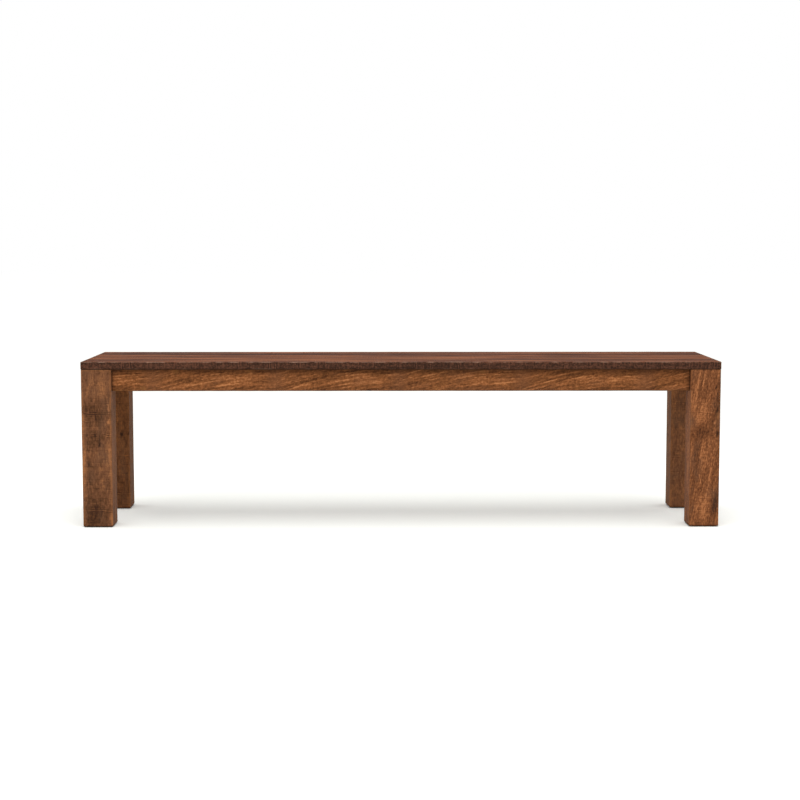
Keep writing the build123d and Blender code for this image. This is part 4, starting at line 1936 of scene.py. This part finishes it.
@dataclass(frozen=True)
class Studio:
    """White floor, soft light from above and in front, and the camera of the photograph.

    Attributes:
        floor_size: Length of a side of the floor.
        floor_colour: Shade of the floor.
        floor_lift: Brightness added near the bench where the floor is seen.
        dip: How much less is added behind the bench, where the shadow is deeper.
        dip_reach: Where behind the middle of the bench the dip starts and is full.
        far_gain: How much more is added far away, where less of the light reaches.
        far_start: Distance from the middle of the bench at which the gain starts.
        far_reach: Distance over which the gain comes to about two thirds.
        sky_strength: Strength of the surround as a light.
        lamps: Lamps.
        camera_place: Place of the camera.
        camera_down_deg: How far it looks down.
        camera_right_deg: How far it looks to the right.
        camera_lens_mm: Focal length.
        sensor_mm: Width of the sensor.
    """

    floor_size: float = 60.0
    floor_colour: str = "F9FBF6"
    floor_lift: float = 0.15
    dip: float = 0.08
    dip_reach: tuple[float, float] = (0.3, 0.6)
    far_gain: float = 0.32
    far_start: float = 0.7
    far_reach: float = 1.9
    sky_strength: float = 0.66
    lamps: tuple[Softbox, ...] = (
        Softbox("over_back", (0.0, 0.2, 2.6), (0.0, 0.2, 0.0), (4.0, 1.2), 29.0),
        Softbox("over_front", (0.0, -1.0, 2.6), (0.0, -0.6, 0.0), (4.0, 1.2), 27.5),
        Softbox("front", (0.0, -4.5, 4.0), (0.0, 0.0, 0.3), (6.0, 3.0), 86.0),
    )
    camera_place: tuple[float, float, float] = (-0.0380, -4.9185, 0.8168)
    camera_down_deg: float = 5.5623
    camera_right_deg: float = 0.4169
    camera_lens_mm: float = 76.643
    sensor_mm: float = 36.0

    def build(self) -> None:
        """Build the floor, the lights and the camera."""
        self._floor()
        self._world()
        for lamp in self.lamps:
            lamp.hang()
        self._camera()

    def _floor(self) -> None:
        """Lay a white floor that shows white but keeps the shadow of the bench."""
        half = self.floor_size / 2
        mesh = bpy.data.meshes.new("floor")
        corners = [(-half, -half, 0), (half, -half, 0), (half, half, 0), (-half, half, 0)]
        mesh.from_pydata(corners, [], [(0, 1, 2, 3)])
        floor = bpy.data.objects.new("floor", mesh)
        bpy.context.scene.collection.objects.link(floor)
        material, tree = blank_tree("white_paper")
        lift = self._lift(tree)
        for mask in (self._seen(tree), self._clear_of_feet(tree)):
            lift = add(tree, Node.MATH, lift, mask, operation="MULTIPLY")
        glow = add(tree, Node.EMISSION, linear(WHITE), lift)
        paper = add(tree, Node.DIFFUSE, linear(self.floor_colour))
        lifted = add(tree, Node.ADD_SHADER, paper, glow)
        # From below, the floor is clear
        below = add(tree, Node.GEOMETRY, out="Backfacing")
        clear = add(tree, Node.TRANSPARENT)
        add(tree, Node.OUTPUT, add(tree, Node.MIX_SHADER, below, lifted, clear))
        mesh.materials.append(material)

    def _lift(self, tree: bpy.types.NodeTree) -> Socket:
        """Brightness added where the floor is seen, to keep it just white out to its far ends.

        Args:
            tree: Shader tree of the floor.

        Returns:
            Socket of the brightness.
        """
        place = add(tree, Node.COORDINATES, out="Object")
        back = add(tree, Node.SEPARATE, place, out="Y")
        most = self.floor_lift + self.far_gain
        most = add(tree, Node.RANGE, back, *self.dip_reach, most, most - self.dip)
        away = add(tree, Node.VECTOR, place, out="Value", operation="LENGTH")
        away = add(tree, Node.MATH, away, self.far_start, operation="SUBTRACT")
        away = add(tree, Node.MATH, away, 0.0, operation="MAXIMUM")
        away = add(tree, Node.MATH, away, -self.far_reach, operation="DIVIDE")
        near = add(tree, Node.MATH, away, operation="EXPONENT")
        return add(tree, Node.MATH, near, -self.far_gain, most, operation="MULTIPLY_ADD")

    def _clear_of_feet(self, tree: bpy.types.NodeTree) -> Socket:
        """Give 0 right under a foot, where the floor is as dark as it really is, and else 1.

        Args:
            tree: Shader tree of the floor.

        Returns:
            Socket of that number.
        """
        low, high = (Vector(corner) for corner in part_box("leg_back_right"))
        place = add(tree, Node.COORDINATES, out="Object")
        mirrored = add(tree, Node.VECTOR, place, operation="ABSOLUTE")
        offset = add(tree, Node.VECTOR, mirrored, (low + high) / 2, operation="SUBTRACT")
        offset = add(tree, Node.VECTOR, offset, operation="ABSOLUTE")
        sides = add(tree, Node.SEPARATE, offset).node.outputs
        apart = add(tree, Node.MATH, sides["X"], sides["Y"], operation="MAXIMUM")
        half = (high.x - low.x) / 2
        return add(tree, Node.MATH, apart, half, operation="GREATER_THAN")

    def _seen(self, tree: bpy.types.NodeTree) -> Socket:
        """Tell rays that see the floor or the surround, straight, mirrored or through glass.

        Args:
            tree: Shader tree of the floor or the surround.

        Returns:
            Socket with 1 for such a ray and 0 for the rest.
        """
        rays = add(tree, Node.LIGHT_PATH).node.outputs
        seen = rays["Is Camera Ray"]
        for ray in ("Is Glossy Ray", "Is Transmission Ray"):
            seen = add(tree, Node.MATH, seen, rays[ray], operation="MAXIMUM")
        return seen

    def _world(self) -> None:
        """Set a white surround that is softer as a light than it looks."""
        world = bpy.data.worlds.new("white_studio")
        world.use_nodes = True
        tree = world.node_tree
        tree.nodes.clear()
        seen = self._seen(tree)
        strength = add(tree, Node.RANGE, seen, 0.0, 1.0, self.sky_strength, 1.0)
        add(tree, Node.WORLD_OUTPUT, add(tree, Node.BACKGROUND, linear(WHITE), strength))
        bpy.context.scene.world = world

    def _camera(self) -> None:
        """Set the camera where the photograph's was, found from the corners of the bench."""
        camera = bpy.data.cameras.new("camera")
        camera.lens = self.camera_lens_mm
        camera.sensor_width = self.sensor_mm
        holder = bpy.data.objects.new("camera", camera)
        holder.location = self.camera_place
        down, right = math.radians(self.camera_down_deg), math.radians(self.camera_right_deg)
        holder.rotation_euler = (math.pi / 2 - down, 0, -right)
        bpy.context.scene.collection.objects.link(holder)
        bpy.context.scene.camera = holder


def main() -> None:
    """Build the looks of the bench piece by piece."""
    logging.basicConfig(level=logging.INFO, format="%(message)s")
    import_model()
    bpy.context.scene.view_settings.view_transform = "Standard"
    for assembly in (Seat(), Legs(), Aprons(), HiddenFrame(), Fittings()):
        for piece in assembly.build():
            log.info("%s: %s, %d faces", type(assembly).__name__, piece.name, len(piece.data.polygons))
    Studio().build()


if __name__ == "__main__":
    main()
